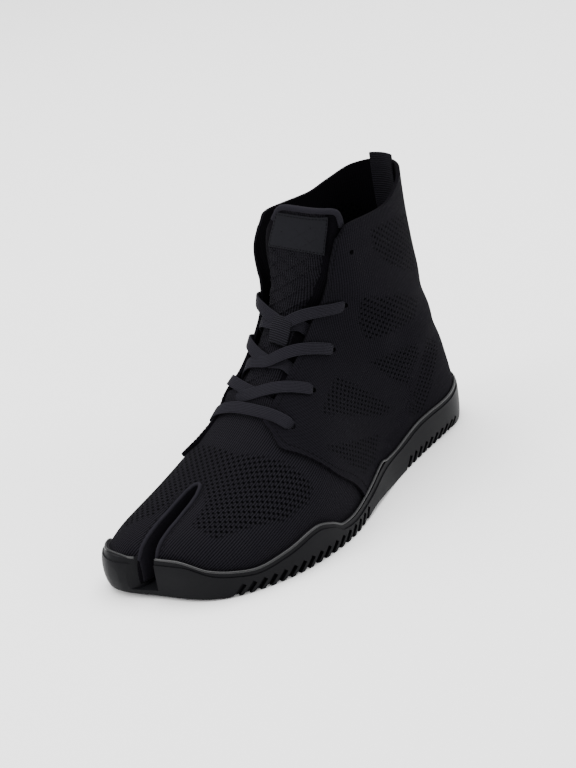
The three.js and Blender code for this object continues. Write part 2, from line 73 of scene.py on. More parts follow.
right, up, back = camera_axes()
camera = bpy.data.objects.new("camera", bpy.data.cameras.new("camera"))
bpy.context.scene.collection.objects.link(camera)
camera.data.lens = 85
camera.data.sensor_width = 36
camera.data.clip_start = 0.05
spot = to_frame(TARGET + back * DISTANCE - right * OFF_CENTRE[0] - up * OFF_CENTRE[1])
camera.matrix_world = Matrix(np.column_stack([right, up, back, spot]).tolist() + [[0, 0, 0, 1]])
bpy.context.scene.camera = camera
print("camera at", [round(float(v), 3) for v in spot])

# %% [markdown]
# ## The last
# A last is the foot-shaped form that a shoe is built over. Here it is a row of sections: upright ones in
# the forefoot, then a fan round the ankle, then level ones up the shaft. A smooth curve runs through the
# rows, so any place on the skin is named by a row number and a turn round its section.

# %% Sizes and sections
LENGTH, BALL_WIDTH, HEEL_WIDTH, COLLAR_WIDTH = 272, 104, 58, 64
INSTEP_HEIGHT, COLLAR_HEIGHT = 76, 176
KNIT, QUARTER_STEP, RUBBER, WALL_HEIGHT, BASE = 2.0, 1.0, 3.2, 20, 5.5
TOE_SPRING, ARCH_RISE, SPLIT_WIDTH, GAP = 3, 2.5, 10, 0.3

# at, under, ridge, lateral, medial, lean, low
VAMP = np.array([
    (0.987, 0.13, 0.24, -0.24, -0.30, -0.27, 2.2), (0.983, 0.06, 0.29, -0.21, -0.335, -0.265, 2.3),
    (0.972, 0, 0.35, -0.14, -0.385, -0.25, 2.6), (0.955, -0.05, 0.415, -0.035, -0.42, -0.22, 3),
    (0.93, -0.08, 0.465, 0.15, -0.435, -0.18, 3.6), (0.90, -0.10, 0.51, 0.27, -0.445, -0.15, 4.5),
    (0.86, -0.10, 0.555, 0.355, -0.45, -0.13, 5), (0.81, -0.10, 0.61, 0.42, -0.45, -0.12, 6),
    (0.75, -0.10, 0.695, 0.475, -0.44, -0.11, 6), (0.69, -0.10, 0.82, 0.50, -0.41, -0.09, 6),
    (0.63, -0.10, 0.965, 0.505, -0.37, -0.07, 6)])
# foot, rise, ridge, height, lateral, medial, lean, widest, low, high
HEEL = np.array([
    (0.56, -0.104, 0.602, 0.08, 0.865, -0.60, -0.12, 0.21, 6, 2.5),
    (0.44, -0.104, 0.567, 0.18, 0.71, -0.47, -0.11, 0.22, 6, 2.7),
    (0.325, -0.104, 0.535, 0.28, 0.55, -0.465, -0.11, 0.24, 6, 2.9),
    (0.205, -0.104, 0.51, 0.37, 0.465, -0.485, -0.11, 0.28, 5, 3),
    (0.10, -0.104, 0.49, 0.45, 0.435, -0.48, -0.11, 0.36, 4, 3),
    (0.035, -0.081, 0.476, 0.52, 0.44, -0.485, -0.11, 0.44, 3.2, 3),
    (0.011, 0.116, 0.463, 0.58, 0.455, -0.495, -0.10, 0.5, 2.6, 3.1),
    (0.012, 0.37, 0.454, 0.64, 0.475, -0.51, -0.10, 0.55, 2.3, 3.2)])
# back, rise, front, height, half, lean, widest, low, high
SHAFT = np.array([
    (0.032, 0.29, 0.449, 0.815, 0.465, -0.08, 0.62, 2.15, 3.4),
    (0.058, 0.43, 0.443, 0.853, 0.48, -0.07, 0.67, 2.15, 3.6),
    (0.077, 0.58, 0.438, 0.888, 0.49, -0.05, 0.71, 2.15, 3.6),
    (0.085, 0.72, 0.431, 0.922, 0.495, -0.03, 0.73, 2.1, 3.5),
    (0.093, 0.86, 0.422, 0.957, 0.5, -0.015, 0.74, 2.1, 3.3),
    (0.094, 1.0, 0.415, 1.0, 0.5, 0, 0.74, 2.1, 3.2),
    (0.09, 1.09, 0.415, 1.09, 0.505, 0, 0.74, 2.1, 3.2)])
VAMP_WIDEST, VAMP_HIGH = 12, 2.4


def rows():
    """Every section as low x, low z, high x, high z, lateral, medial, lean, widest, low and high power."""
    at, under, ridge, lateral, medial, lean, low = VAMP.T
    x, foot, top = at * LENGTH, under * INSTEP_HEIGHT, ridge * INSTEP_HEIGHT
    widest = np.minimum(0.5, (VAMP_WIDEST - foot) / (top - foot))
    sides = [side * BALL_WIDTH for side in (lateral, medial, lean)]
    vamp = [x, foot, x, top, *sides, widest, low, np.full(len(x), VAMP_HIGH)]
    foot, rise, ridge, height, lateral, medial, lean, widest, low, high = HEEL.T
    top = INSTEP_HEIGHT + height * (COLLAR_HEIGHT - INSTEP_HEIGHT)
    sides = [side * HEEL_WIDTH for side in (lateral, medial, lean)]
    heel = [foot * LENGTH, rise * INSTEP_HEIGHT, ridge * LENGTH, top, *sides, widest, low, high]
    back_, rise, front, height, half, lean, widest, low, high = SHAFT.T
    sides = [side * COLLAR_WIDTH for side in (half, -half, lean)]
    shaft = [back_ * LENGTH, rise * COLLAR_HEIGHT, front * LENGTH, height * COLLAR_HEIGHT, *sides,
             widest, low, high]
    return np.hstack([np.array(part) for part in (vamp, heel, shaft)]).T


ROWS = rows()
LAST_ROW = len(ROWS) - 1
print(len(ROWS), "sections")

# %% [markdown]
# The skin is a superellipse in each section. It rounds down a little beside the split between the toes.
# Its outward direction comes from small steps along and around it, and a layer is the skin moved along it.

# %% The skin
WEB, TIP = (0.79, -0.058), (1.0, -0.08)
SPLIT_DIP, DIP_REACH, DIP_START = 2.5, 9, 0.1


def smooth(x, low, high):
    t = np.clip((np.asarray(x) - low) / (high - low), 0, 1)
    return t * t * (3 - 2 * t)


def split_y(x):
    t = (np.asarray(x) / LENGTH - WEB[0]) / (TIP[0] - WEB[0])
    return (WEB[1] + (TIP[1] - WEB[1]) * t) * BALL_WIDTH


def section(s):
    i = np.clip(np.floor(s).astype(int), 0, LAST_ROW - 1)
    t = (s - i)[:, None]
    a, b, c, d = (ROWS[np.clip(i + k, 0, LAST_ROW)] for k in (-1, 0, 1, 2))
    return (0.5 * (2 * b + (c - a) * t + (2 * a - 5 * b + 4 * c - d) * t * t
                   + (3 * b - a - 3 * c + d) * t ** 3)).T


def bare(s, a):
    s, a = np.broadcast_arrays(np.asarray(s, float), np.asarray(a, float))
    shape = s.shape
    s, a = s.ravel(), a.ravel()
    low_x, low_z, high_x, high_z, lateral, medial, lean, widest, low, high = section(s)
    side, lift = np.sin(2 * np.pi * a), np.cos(2 * np.pi * a)
    power = 2 / np.where(lift > 0, high, low)
    reach = np.where(lift > 0, 1 - widest, widest)
    t = widest + np.sign(lift) * reach * np.abs(lift) ** power
    half, middle = (lateral - medial) / 2, (lateral + medial) / 2
    drift = np.where(lift > 0, (lean - middle) * lift ** 2, 0)
    x = low_x + (high_x - low_x) * t
    y = middle + drift + np.sign(side) * half * np.abs(side) ** power
    z = low_z + (high_z - low_z) * t
    ahead = smooth(x / LENGTH, WEB[0], WEB[0] + DIP_START)
    z = z - SPLIT_DIP * ahead * np.maximum(0, lift) * np.exp(-((y - split_y(x)) / DIP_REACH) ** 2)
    return np.stack([x, y, z], -1).reshape(*shape, 3)


def outward(s, a, step_s=0.02, step_a=0.004):
    s = np.asarray(s, float)
    along = bare(np.minimum(LAST_ROW, s + step_s), a) - bare(np.maximum(0, s - step_s), a)
    around = bare(s, a + step_a) - bare(s, a - step_a)
    normal = np.cross(around, along)
    return normal / np.maximum(1e-9, np.linalg.norm(normal, axis=-1, keepdims=True))


def skin(s, a, out=0.0):
    return bare(s, a) + outward(s, a) * np.asarray(out)[..., None]


def curve(table, x, column=1):
    """A column of a table at x, as a smooth curve through its rows that never overshoots them."""
    table = np.asarray(table, float)
    knots, values = table[:, 0], table[:, column]
    steps = np.diff(knots)
    rises = np.diff(values) / steps
    turns = np.maximum(rises[:-1] * rises[1:], 0)
    inner = 2 * turns / np.where(turns > 0, rises[:-1] + rises[1:], 1)
    slopes = np.concatenate([rises[:1], inner, rises[-1:]])
    i = np.clip(np.searchsorted(knots, x) - 1, 0, len(steps) - 1)
    t = np.clip((np.asarray(x) - knots[i]) / steps[i], 0, 1)
    ends = values[i] * (1 + 2 * t) * (1 - t) ** 2 + values[i + 1] * t ** 2 * (3 - 2 * t)
    return ends + steps[i] * (slopes[i] * t * (1 - t) ** 2 - slopes[i + 1] * t ** 2 * (1 - t))


print("toe and collar", bare(0, 0).round(1), bare(24.1, 0.5).round(1))

# %% [markdown]
# ## Making meshes
# One helper makes a grid with bmesh and moves its vertices by a function. A tube closes by merging its
# seam, and its ends are filled. Another helper stacks the modifiers that give cloth its thickness.

# %% Mesh helpers
EASE = 1e-6


def publish(name, bm, material=None):
    mesh = bpy.data.meshes.new(name)
    bm.to_mesh(mesh)
    bm.free()
    for face in mesh.polygons:
        face.use_smooth = True
    piece = bpy.data.objects.new(name, mesh)
    bpy.context.scene.collection.objects.link(piece)
    if material:
        mesh.materials.append(material)
    return piece


def moved_grid(name, place, along, around, wrap=False, caps=False, inside=None, chart=None):
    """A grid whose vertices lie at place(p, q), in millimetres from the back of the heel. chart gives the
    knit's own map at p and q: millimetres across the wales, along them, and how open the knit is."""
    bm = bmesh.new()
    bmesh.ops.create_grid(bm, x_segments=along, y_segments=around, size=0.5)
    layer = bm.verts.layers.float_vector.new("knit")
    verts = list(bm.verts)
    spots = np.array([vert.co for vert in verts]) + 0.5
    points = to_frame(place(spots[:, 0], spots[:, 1]))
    for vert, point in zip(verts, points.tolist()):
        vert.co = point
    if chart:
        for vert, value in zip(verts, np.asarray(chart(spots[:, 0], spots[:, 1])).tolist()):
            vert[layer] = value
    if wrap:
        bmesh.ops.remove_doubles(bm, verts=bm.verts, dist=EASE)
    if caps:
        bmesh.ops.holes_fill(bm, edges=[edge for edge in bm.edges if edge.is_boundary])
    if wrap and caps:
        bmesh.ops.recalc_face_normals(bm, faces=bm.faces)
    elif inside is not None:
        bm.normal_update()
        middle = to_frame(inside)
        facing = sum(face.normal.dot(face.calc_center_median() - Vector(middle)) * face.calc_area()
                     for face in bm.faces)
        if facing < 0:
            bmesh.ops.reverse_faces(bm, faces=bm.faces)
    return bm


def thicken(piece, thickness, bevel=0.0, lining_and_edge_shade=0, offset=-1.0):
    solid = piece.modifiers.new("thickness", "SOLIDIFY")
    solid.thickness = thickness * MM
    solid.offset = offset
    solid.material_offset = lining_and_edge_shade
    # The rim faces take the same material slot: on the quarters this paints their cut edges near black, as
    # painted shade under the raised edges.
    solid.material_offset_rim = lining_and_edge_shade
    solid.use_even_offset = False
    if bevel:
        round_edges(piece, bevel)
    return piece


def round_edges(piece, width, segments=2, angle=50):
    edge = piece.modifiers.new("edge", "BEVEL")
    edge.width = width * MM
    edge.segments = segments
    edge.limit_method = "ANGLE"
    edge.angle_limit = np.radians(angle)
    return piece


def settle(piece):
    """Applies the modifiers, so that the mesh is what shows."""
    graph = bpy.context.evaluated_depsgraph_get()
    mesh = bpy.data.meshes.new_from_object(piece.evaluated_get(graph))
    piece.modifiers.clear()
    piece.data = mesh
    return piece


def cut(piece, tool, how="DIFFERENCE"):
    change = piece.modifiers.new("cut", "BOOLEAN")
    change.operation = how
    change.object = tool
    change.solver = "MANIFOLD"
    settle(piece)
    bpy.data.objects.remove(tool)
    return piece


def crisp(piece, angle=35):
    for face in piece.data.polygons:
        face.use_smooth = True
    piece.data.set_sharp_from_angle(angle=np.radians(angle))
    return piece


def finish_piece(piece, slot, *nodes):
    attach(piece, "root")
    if nodes:
        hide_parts(*nodes)
    print(f"{piece.name}: {len(piece.data.polygons)} faces")
    return piece


def sweep(name, path, normals, outline, sizes, around=12, material=None, chart=None):
    """A closed bar of one outline along a path. outline(q) gives across and up from -1 to 1, and sizes
    gives the half width and half height at each point of the path."""
    path, normals, sizes = (np.asarray(part, float) for part in (path, normals, sizes))
    ahead = np.gradient(path, axis=0)
    ahead /= np.linalg.norm(ahead, axis=1, keepdims=True)
    across = np.cross(normals, ahead)
    across /= np.linalg.norm(across, axis=1, keepdims=True)
    upward = np.cross(ahead, across)
    last = len(path) - 1

    def place(p, q):
        i = np.rint(p * last).astype(int)
        wide, high = outline(q)
        return (path[i] + across[i] * (wide * sizes[i, 0])[:, None]
                + upward[i] * (high * sizes[i, 1])[:, None])

    bm = moved_grid(name, place, last, around, wrap=True, caps=True, chart=chart)
    return publish(name, bm, material)


def round_outline(q):
    return np.sin(2 * np.pi * q), np.cos(2 * np.pi * q)


def flat_outline(q, power=0.28):
    wide, high = np.sin(2 * np.pi * q), np.cos(2 * np.pi * q)
    return np.sign(wide) * np.abs(wide) ** power, np.sign(high) * np.abs(high) ** 0.55


# %% [markdown]
# ## Materials
# All of the shoe is near black, so its look lives in how each surface breaks the light: the knit is matt
# and ribbed, the webbing has cross ribs, and the moulded rubber is smoother and catches soft highlights.
# Colours are written as they look on a screen and turned to linear light by one function.

# %% Colour and node helpers


def colour(code):
    channels = np.array([int(code[i:i + 2], 16) / 255 for i in (1, 3, 5)])
    linear = np.where(channels <= 0.04045, channels / 12.92, ((channels + 0.055) / 1.055) ** 2.4)
    return (*linear.tolist(), 1.0)


def add(tree, kind, links=None, **settings):
    node = tree.nodes.new(kind)
    for name, value in settings.items():
        setattr(node, name, value)
    for socket, value in (links or {}).items():
        if isinstance(value, bpy.types.Node):
            value = value.outputs[0]
        if isinstance(value, bpy.types.NodeSocket):
            tree.links.new(value, node.inputs[socket])
        else:
            node.inputs[socket].default_value = value
    return node


def new_material(name, roughness, sheen=0.0, coat=0.0, specular=0.5):
    material = bpy.data.materials.new(name)
    material.use_nodes = True
    tree = material.node_tree
    shader = tree.nodes["Principled BSDF"]
    shader.inputs["Roughness"].default_value = roughness
    shader.inputs["Sheen Weight"].default_value = sheen
    shader.inputs["Sheen Roughness"].default_value = 0.4
    shader.inputs["Coat Weight"].default_value = coat
    shader.inputs["Specular IOR Level"].default_value = specular
    return material, tree, shader


# %% [markdown]
# The knit's map is in millimetres: across the wales (the columns of loops) and along them. A wale is
# about 1.45 mm wide. Where the knit opens up, holes stand in a chequered grid, 2.3 mm apart, and the
# product of two waves gives just that grid. The third channel says how open the knit is.

# %% Knit
WALE, COURSE = 1.45, 1.9
HOLE_PITCH = (4.6, 3.9)


def knit(name, plain, deep, light, relief=0.55, hole_shade_colour="#020203"):
    material, tree, shader = new_material(name, 1.0, sheen=0.01, specular=0.01)
    chart = add(tree, "ShaderNodeAttribute", attribute_name="knit")
    place = add(tree, "ShaderNodeSeparateXYZ", {0: chart.outputs["Vector"]})
    across, down, opened = place.outputs

    def wave(value, pitch, how="SINE", shift=0.0):
        turned = add(tree, "ShaderNodeMath", {0: value, 1: 2 * np.pi / pitch, 2: shift},
                     operation="MULTIPLY_ADD")
        return add(tree, "ShaderNodeMath", {0: turned}, operation=how)

    rib = add(tree, "ShaderNodeMath", {0: wave(across, 2 * WALE)}, operation="ABSOLUTE")
    loop = wave(down, COURSE)
    weft = add(tree, "ShaderNodeMath", {0: loop, 1: 0.12, 2: rib}, operation="MULTIPLY_ADD")
    grid = add(tree, "ShaderNodeMath", {0: wave(across, HOLE_PITCH[0], "COSINE"),
                                        1: wave(down, HOLE_PITCH[1], "COSINE")}, operation="MULTIPLY")
    hole = add(tree, "ShaderNodeMapRange", {"Value": grid, "From Min": 0.1, "From Max": 0.75},
               interpolation_type="SMOOTHSTEP")
    hole = add(tree, "ShaderNodeMath", {0: hole, 1: opened}, operation="MULTIPLY")
    rise = add(tree, "ShaderNodeMath", {0: hole, 1: -1.6, 2: weft}, operation="MULTIPLY_ADD")
    cloudy = add(tree, "ShaderNodeTexNoise",
                 {"Vector": chart.outputs["Vector"], "Scale": 0.09, "Detail": 3.0})
    # Painted shade and painted highlight: the colour runs from the deep tone in the rib troughs to the light
    # tone on the crests, following the relief.
    shade = add(tree, "ShaderNodeMapRange", {"Value": weft, "From Min": 0.05, "From Max": 0.95})
    tone_and_painted_shade = add(tree, "ShaderNodeMix", {0: shade, 6: colour(deep), 7: colour(light)}, data_type="RGBA")
    mild = add(tree, "ShaderNodeMath", {0: cloudy, 1: 0.5}, operation="MULTIPLY")
    tone_and_painted_shade = add(tree, "ShaderNodeMix", {0: mild, 6: tone_and_painted_shade.outputs[2], 7: colour(plain)}, data_type="RGBA")
    # Painted shade: the open holes are painted near black, standing in for the shade inside them.
    tone_and_painted_shade = add(tree, "ShaderNodeMix", {0: hole, 6: tone_and_painted_shade.outputs[2], 7: colour(hole_shade_colour)}, data_type="RGBA")
    tree.links.new(tone_and_painted_shade.outputs[2], shader.inputs["Base Color"])
    bump = add(tree, "ShaderNodeBump", {"Height": rise, "Strength": relief, "Distance": 0.0007})
    tree.links.new(bump.outputs[0], shader.inputs["Normal"])
    return material


# The second and third colours of each knit are the painted shade in the rib troughs and the painted highlight
# on the crests.
vamp_knit = knit("polyester rib knit", "#111014", "#080709", "#1b1a1e", relief=0.9)
quarter_knit = knit("polyester fine knit", "#0f0e11", "#0a090c", "#151418", relief=0.5)
lining_and_edge_shade = knit("polyester tricot lining", "#09080b", "#060507", "#0c0b0e", relief=0.2)
print("knit materials made")

# %% [markdown]
# The stretch gusset between the toes and the bindings are smooth knit. Webbing is woven with ribs across
# it, and the laces with ribs along them. Their map is in millimetres too: along and across the band.

# %% Woven bands and smooth cloth


def band(name, dark, light, pitch, ribs="along", relief=0.6, roughness=0.85):
    material, tree, shader = new_material(name, roughness, sheen=0.01, specular=0.03)
    chart = add(tree, "ShaderNodeAttribute", attribute_name="knit")
    place = add(tree, "ShaderNodeSeparateXYZ", {0: chart.outputs["Vector"]})
    across, down = place.outputs[0], place.outputs[1]
    main, other = (across, down) if ribs == "along" else (down, across)
    turned = add(tree, "ShaderNodeMath", {0: main, 1: np.pi / pitch}, operation="MULTIPLY")
    rib = add(tree, "ShaderNodeMath", {0: add(tree, "ShaderNodeMath", {0: turned}, operation="SINE")},
              operation="ABSOLUTE")
    slanted = add(tree, "ShaderNodeMath", {0: rib, 1: 1.2, 2: other}, operation="MULTIPLY_ADD")
    pick = add(tree, "ShaderNodeMath", {0: slanted, 1: 2 * np.pi / pitch}, operation="MULTIPLY")
    pick = add(tree, "ShaderNodeMath", {0: pick}, operation="SINE")
    rise = add(tree, "ShaderNodeMath", {0: pick, 1: 0.18, 2: rib}, operation="MULTIPLY_ADD")
    # Painted shade and painted highlight: the colour runs from dark in the grooves to light on the ribs,
    # following the relief.
    shade = add(tree, "ShaderNodeMapRange", {"Value": rise, "From Min": 0.0, "From Max": 1.1})
    tone_and_painted_shade = add(tree, "ShaderNodeMix", {0: shade, 6: colour(dark), 7: colour(light)}, data_type="RGBA")
    tree.links.new(tone_and_painted_shade.outputs[2], shader.inputs["Base Color"])
    bump = add(tree, "ShaderNodeBump", {"Height": rise, "Strength": relief, "Distance": 0.0004})
    tree.links.new(bump.outputs[0], shader.inputs["Normal"])
    return material


def plain_cloth(name, dark, light, grain, roughness=0.9, relief=0.3, sheen=0.01):
    """Smooth cloth or a satin patch: a fine grain of the given size in millimetres."""
    material, tree, shader = new_material(name, roughness, sheen=sheen, specular=0.02)
    place = add(tree, "ShaderNodeTexCoord").outputs["Object"]
    grainy = add(tree, "ShaderNodeTexNoise", {"Vector": place, "Scale": 1 / (grain * MM), "Detail": 3.0})
    tone_and_painted_shade = add(tree, "ShaderNodeMix", {0: grainy, 6: colour(dark), 7: colour(light)}, data_type="RGBA")
    tree.links.new(tone_and_painted_shade.outputs[2], shader.inputs["Base Color"])
    bump = add(tree, "ShaderNodeBump", {"Height": grainy, "Strength": relief, "Distance": 0.0003})
    tree.links.new(bump.outputs[0], shader.inputs["Normal"])
    return material


# The two colours of each band are the painted shade in its grooves and the painted highlight on its ribs.
lace_weave = band("flat woven polyester lace", "#0d0c10", "#212025", 0.9)
keeper_weave = band("grosgrain webbing", "#070708", "#1f1e23", 1.3, ribs="across", relief=1.0)
gusset_cloth = plain_cloth("elastane gusset cloth", "#0e0d11", "#151418", 0.8, roughness=0.8)
binding = plain_cloth("turned knit binding", "#151418", "#201f24", 0.7)
patch_cloth = plain_cloth("satin patch", "#141417", "#19191c", 0.5, roughness=0.7)
thread = plain_cloth("polyester thread", "#060607", "#0c0c0e", 0.3)

# %% [markdown]
# Moulded rubber keeps the mould's fine matt skin. It is a little uneven in gloss, and handling leaves a
# faint grey haze, which noise in the roughness gives.

# %% Rubber
MOULD_GRAIN = 0.35


def moulded_rubber(name, dull, specular):
    material, tree, shader = new_material(name, dull, specular=specular)
    place = add(tree, "ShaderNodeTexCoord").outputs["Object"]
    cloud = add(tree, "ShaderNodeTexNoise", {"Vector": place, "Scale": 45.0, "Detail": 4.0})
    grain = add(tree, "ShaderNodeTexNoise", {"Vector": place, "Scale": 1 / (MOULD_GRAIN * MM), "Detail": 2.0})
    tone_and_painted_shade = add(tree, "ShaderNodeMix", {0: cloud, 6: colour("#0d0d0f"), 7: colour("#131315")},
               data_type="RGBA")
    gloss = add(tree, "ShaderNodeMapRange", {"Value": cloud, "To Min": dull - 0.08, "To Max": dull + 0.08})
    tree.links.new(tone_and_painted_shade.outputs[2], shader.inputs["Base Color"])
    tree.links.new(gloss.outputs[0], shader.inputs["Roughness"])
    bump = add(tree, "ShaderNodeBump", {"Height": grain, "Strength": 0.12, "Distance": 0.0002})
    tree.links.new(bump.outputs[0], shader.inputs["Normal"])
    return material


rubber = moulded_rubber("moulded black rubber", 0.46, 0.05)
shiny_rubber = moulded_rubber("polished rubber edge", 0.34, 0.35)
foam = plain_cloth("foam footbed cover", "#111114", "#17171a", 0.6, roughness=0.95)

# %% [markdown]
# ## Edges drawn on the last
# The quarters' front edges, the eyestays, the topline and the lace holes are short tables in rows and
# turns. The open parts of the knit are outlines: on the quarters seen from the side, and on the vamp
# seen from above.

# %% Tables of edges
# turn, lateral row, medial row
QUARTER_FRONT = [(0, 10.2, 9.2), (0.064, 9.87, 8.75), (0.097, 9.6, 8.5), (0.125, 9.85, 8.75),
                 (0.19, 10.76, 9.7), (0.25, 11.6, 10.6), (0.5, 12.3, 11.4)]
# row, lateral turn, medial turn
EYESTAY = [(8.6, 0.048, 0.055), (10, 0.048, 0.062), (11.5, 0.06, 0.07), (13.3, 0.082, 0.08),
           (15.2, 0.094, 0.09), (17.9, 0.119, 0.11), (19.5, 0.131, 0.125), (21.2, 0.15, 0.145),
           (22.3, 0.163, 0.165), (23.4, 0.192, 0.195), (25, 0.2, 0.2)]
# turn, row
TOPLINE = [(0, 22.3), (0.163, 22.3), (0.195, 23.1), (0.23, 23.3), (0.31, 23.45), (0.35, 23.7),
           (0.41, 24), (0.5, 24.1)]
# lateral row and turn, medial row and turn
HOLES = [(10.6, 0.101, 9.9, 0.107), (12.44, 0.125, 11.9, 0.122), (14.61, 0.146, 14.2, 0.14),
         (17.56, 0.165, 17.3, 0.16), (21.45, 0.225, 21.4, 0.22)]
# outlines of the open knit on a quarter, in x and z
QUARTER_OPEN = [
    [(84, 158), (60, 156), (34, 150), (26, 128), (30, 110), (50, 118), (69, 129), (83, 146)],
    [(95, 121), (80, 114), (66, 110), (42, 97), (52, 88), (74, 88), (93, 91), (97, 104)],
    [(93, 76), (72, 75), (54, 72), (51, 64), (66, 50), (75, 56)],
    [(122, 80), (104, 64), (82, 41), (93, 41), (147, 69), (136, 74)],
    [(158, 55), (130, 44), (101, 33), (112, 22), (131, 24), (146, 39)],
    [(42, 70), (28, 62), (42, 40), (52, 25), (66, 27), (59, 42)],
]
# outlines of the open knit on the vamp, in x and y
VAMP_OPEN = [
    [(192, -34), (192, 5), (182, 30), (177, 46), (184, 48), (202, 45), (220, 34), (237, 24), (239, 9),
     (224, 7), (213, -5), (224, -15), (206, -30)],
    [(205, -30), (223, -15), (232, -15), (243, -19), (253, -32), (243, -43), (206, -46)],
]


def inside_outline(x, y, outline, soft):
    """1 within the outline and 0 outside, fading over soft millimetres."""
    points = np.asarray(outline, float)
    inside = np.zeros(x.shape, bool)
    near = np.full(x.shape, 1e9)
    for (x0, y0), (x1, y1) in zip(points, np.roll(points, -1, 0)):
        crosses = (y0 > y) != (y1 > y)
        with np.errstate(divide="ignore", invalid="ignore"):
            inside ^= crosses & (x < (x1 - x0) * (y - y0) / (y1 - y0) + x0)
        t = np.clip(((x - x0) * (x1 - x0) + (y - y0) * (y1 - y0)) / ((x1 - x0) ** 2 + (y1 - y0) ** 2), 0, 1)
        near = np.minimum(near, np.hypot(x - x0 - t * (x1 - x0), y - y0 - t * (y1 - y0)))
    return smooth(np.where(inside, near, -near), -soft, soft)


def openness(x, y, outlines, soft=1.2):
    return np.max([inside_outline(x, y, outline, soft) for outline in outlines], axis=0)


# %% [markdown]
# ## The sole's heights
# The underside is flat, with an arch and a toe spring, and the wall's top edge runs in waves.

# %% Sole heights
WALL = [(-0.2, 1.35), (0, 1.35), (0.09, 1.2), (0.21, 1.11), (0.30, 0.9), (0.41, 0.78), (0.49, 0.61),
        (0.565, 0.53), (0.61, 0.6), (0.645, 0.9), (0.685, 1.08), (0.77, 0.83), (0.835, 0.67), (0.88, 0.77),
        (0.915, 0.92), (0.945, 1.22), (1, 1.25), (1.2, 1.25)]
SPRING_START = 0.8
ARCH = (0.34, 0.57)


def spring(x):
    rise = np.maximum(0, np.asarray(x) / LENGTH - SPRING_START) / (1 - SPRING_START)
    return TOE_SPRING * rise ** 2


def ground(x):
    t = np.clip((np.asarray(x) / LENGTH - ARCH[0]) / (ARCH[1] - ARCH[0]), 0, 1)
    return spring(x) + ARCH_RISE * np.sin(t * np.pi) ** 2


def bed(x):
    return BASE + spring(x)


def wall_top(x):
    return curve(WALL, np.asarray(x) / LENGTH) * WALL_HEIGHT


def kept_up(points):
    """Cloth under the foot lies on the sole."""
    points[:, 2] = np.maximum(points[:, 2], bed(points[:, 0]) + GAP)
    return points


# %% [markdown]
# ## The split
# A tabi's toes are parted by a slot. It is cut from the vamp and from the sole by one upright block with
# a rounded web at its back end, which opens towards the toe tips.

# %% The block that cuts the split
# at, half width as a share of SPLIT_WIDTH
SPLIT = [(0.79, 0.02), (0.793, 0.17), (0.80, 0.28), (0.815, 0.42), (0.84, 0.48), (0.90, 0.5),
         (0.945, 0.48), (0.96, 0.5), (0.975, 0.66), (1.0, 1.3), (1.04, 1.9)]
SPLIT_STEPS = 90


def split_half(x):
    table = np.asarray(SPLIT)
    return np.interp(np.asarray(x) / LENGTH, table[:, 0], table[:, 1]) * SPLIT_WIDTH


def block(place, steps):
    """A cube cut into steps along x, with its corners moved by place(t, side, up)."""
    bm = bmesh.new()
    bmesh.ops.create_cube(bm, size=1)
    long_edges = [edge for edge in bm.edges if abs(edge.verts[0].co.x - edge.verts[1].co.x) > 0.5]
    bmesh.ops.subdivide_edges(bm, edges=long_edges, cuts=steps - 1, use_grid_fill=True)
    verts = list(bm.verts)
    corners = np.array([vert.co for vert in verts])
    points = to_frame(place(corners[:, 0] + 0.5, np.sign(corners[:, 1]), np.sign(corners[:, 2])))
    for vert, point in zip(verts, points.tolist()):
        vert.co = point
    bmesh.ops.recalc_face_normals(bm, faces=bm.faces)
    return publish("block", bm)


def split_block(out=0.0, low=-20.0):
    def place(t, side, up_):
        x = LENGTH * (WEB[0] + (1.04 - WEB[0]) * t ** 1.6) - out * (t < EASE)
        y = split_y(x) + side * (split_half(x) + out)
        return np.stack([x, y, np.where(up_ > 0, COLLAR_HEIGHT, low)], -1)
    return block(place, SPLIT_STEPS)


# %% [markdown]
# ## The vamp
# A stretchy rib knit covers the toes and runs back under the quarters. Its grid goes right round the
# foot. It gets its thickness first, and then the split is cut through it.

# %% Vamp
VAMP_BACK, VAMP_UNDER_LACES = 13.0, 11.0
ALONG_VAMP, AROUND_VAMP = 150, 300


def girth_map(count_s=120, count_a=240):
    """Distance round the section from its ridge, and along the ridge from the toe, in millimetres."""
    s = np.linspace(0, VAMP_BACK, count_s)
    a = np.linspace(0, 0.5, count_a)
    maps = []
    for sign in (1, -1):
        points = bare(s[:, None], sign * a[None, :])
        steps = np.linalg.norm(np.diff(points, axis=1), axis=2)
        maps.append(sign * np.hstack([np.zeros((count_s, 1)), np.cumsum(steps, 1)]))
    ridge = bare(s, 0 * s)
    gone = np.concatenate([[0], np.cumsum(np.linalg.norm(np.diff(ridge, axis=0), axis=1))])
    return s, a, maps, gone


RIDGE_ROWS, RIDGE_TURNS, GIRTHS, RIDGE_LENGTH = girth_map()


def look_up(table, s, a):
    i = np.clip(s / RIDGE_ROWS[-1] * (len(RIDGE_ROWS) - 1), 0, len(RIDGE_ROWS) - 1.001)
    j = np.clip(a / RIDGE_TURNS[-1] * (len(RIDGE_TURNS) - 1), 0, len(RIDGE_TURNS) - 1.001)
    i0, j0 = i.astype(int), j.astype(int)
    u, v = i - i0, j - j0
    return (table[i0, j0] * (1 - u) * (1 - v) + table[i0 + 1, j0] * u * (1 - v)
            + table[i0, j0 + 1] * (1 - u) * v + table[i0 + 1, j0 + 1] * u * v)


def vamp_spot(p, q):
    a = q - 0.5
    tail = smooth(np.abs(a), 0.1, 0.15)
    end = VAMP_UNDER_LACES + (VAMP_BACK - VAMP_UNDER_LACES) * tail
    return end * p ** 1.15, a


def vamp_place(p, q):
    s, a = vamp_spot(p, q)
    return kept_up(skin(s, a, 0.0))


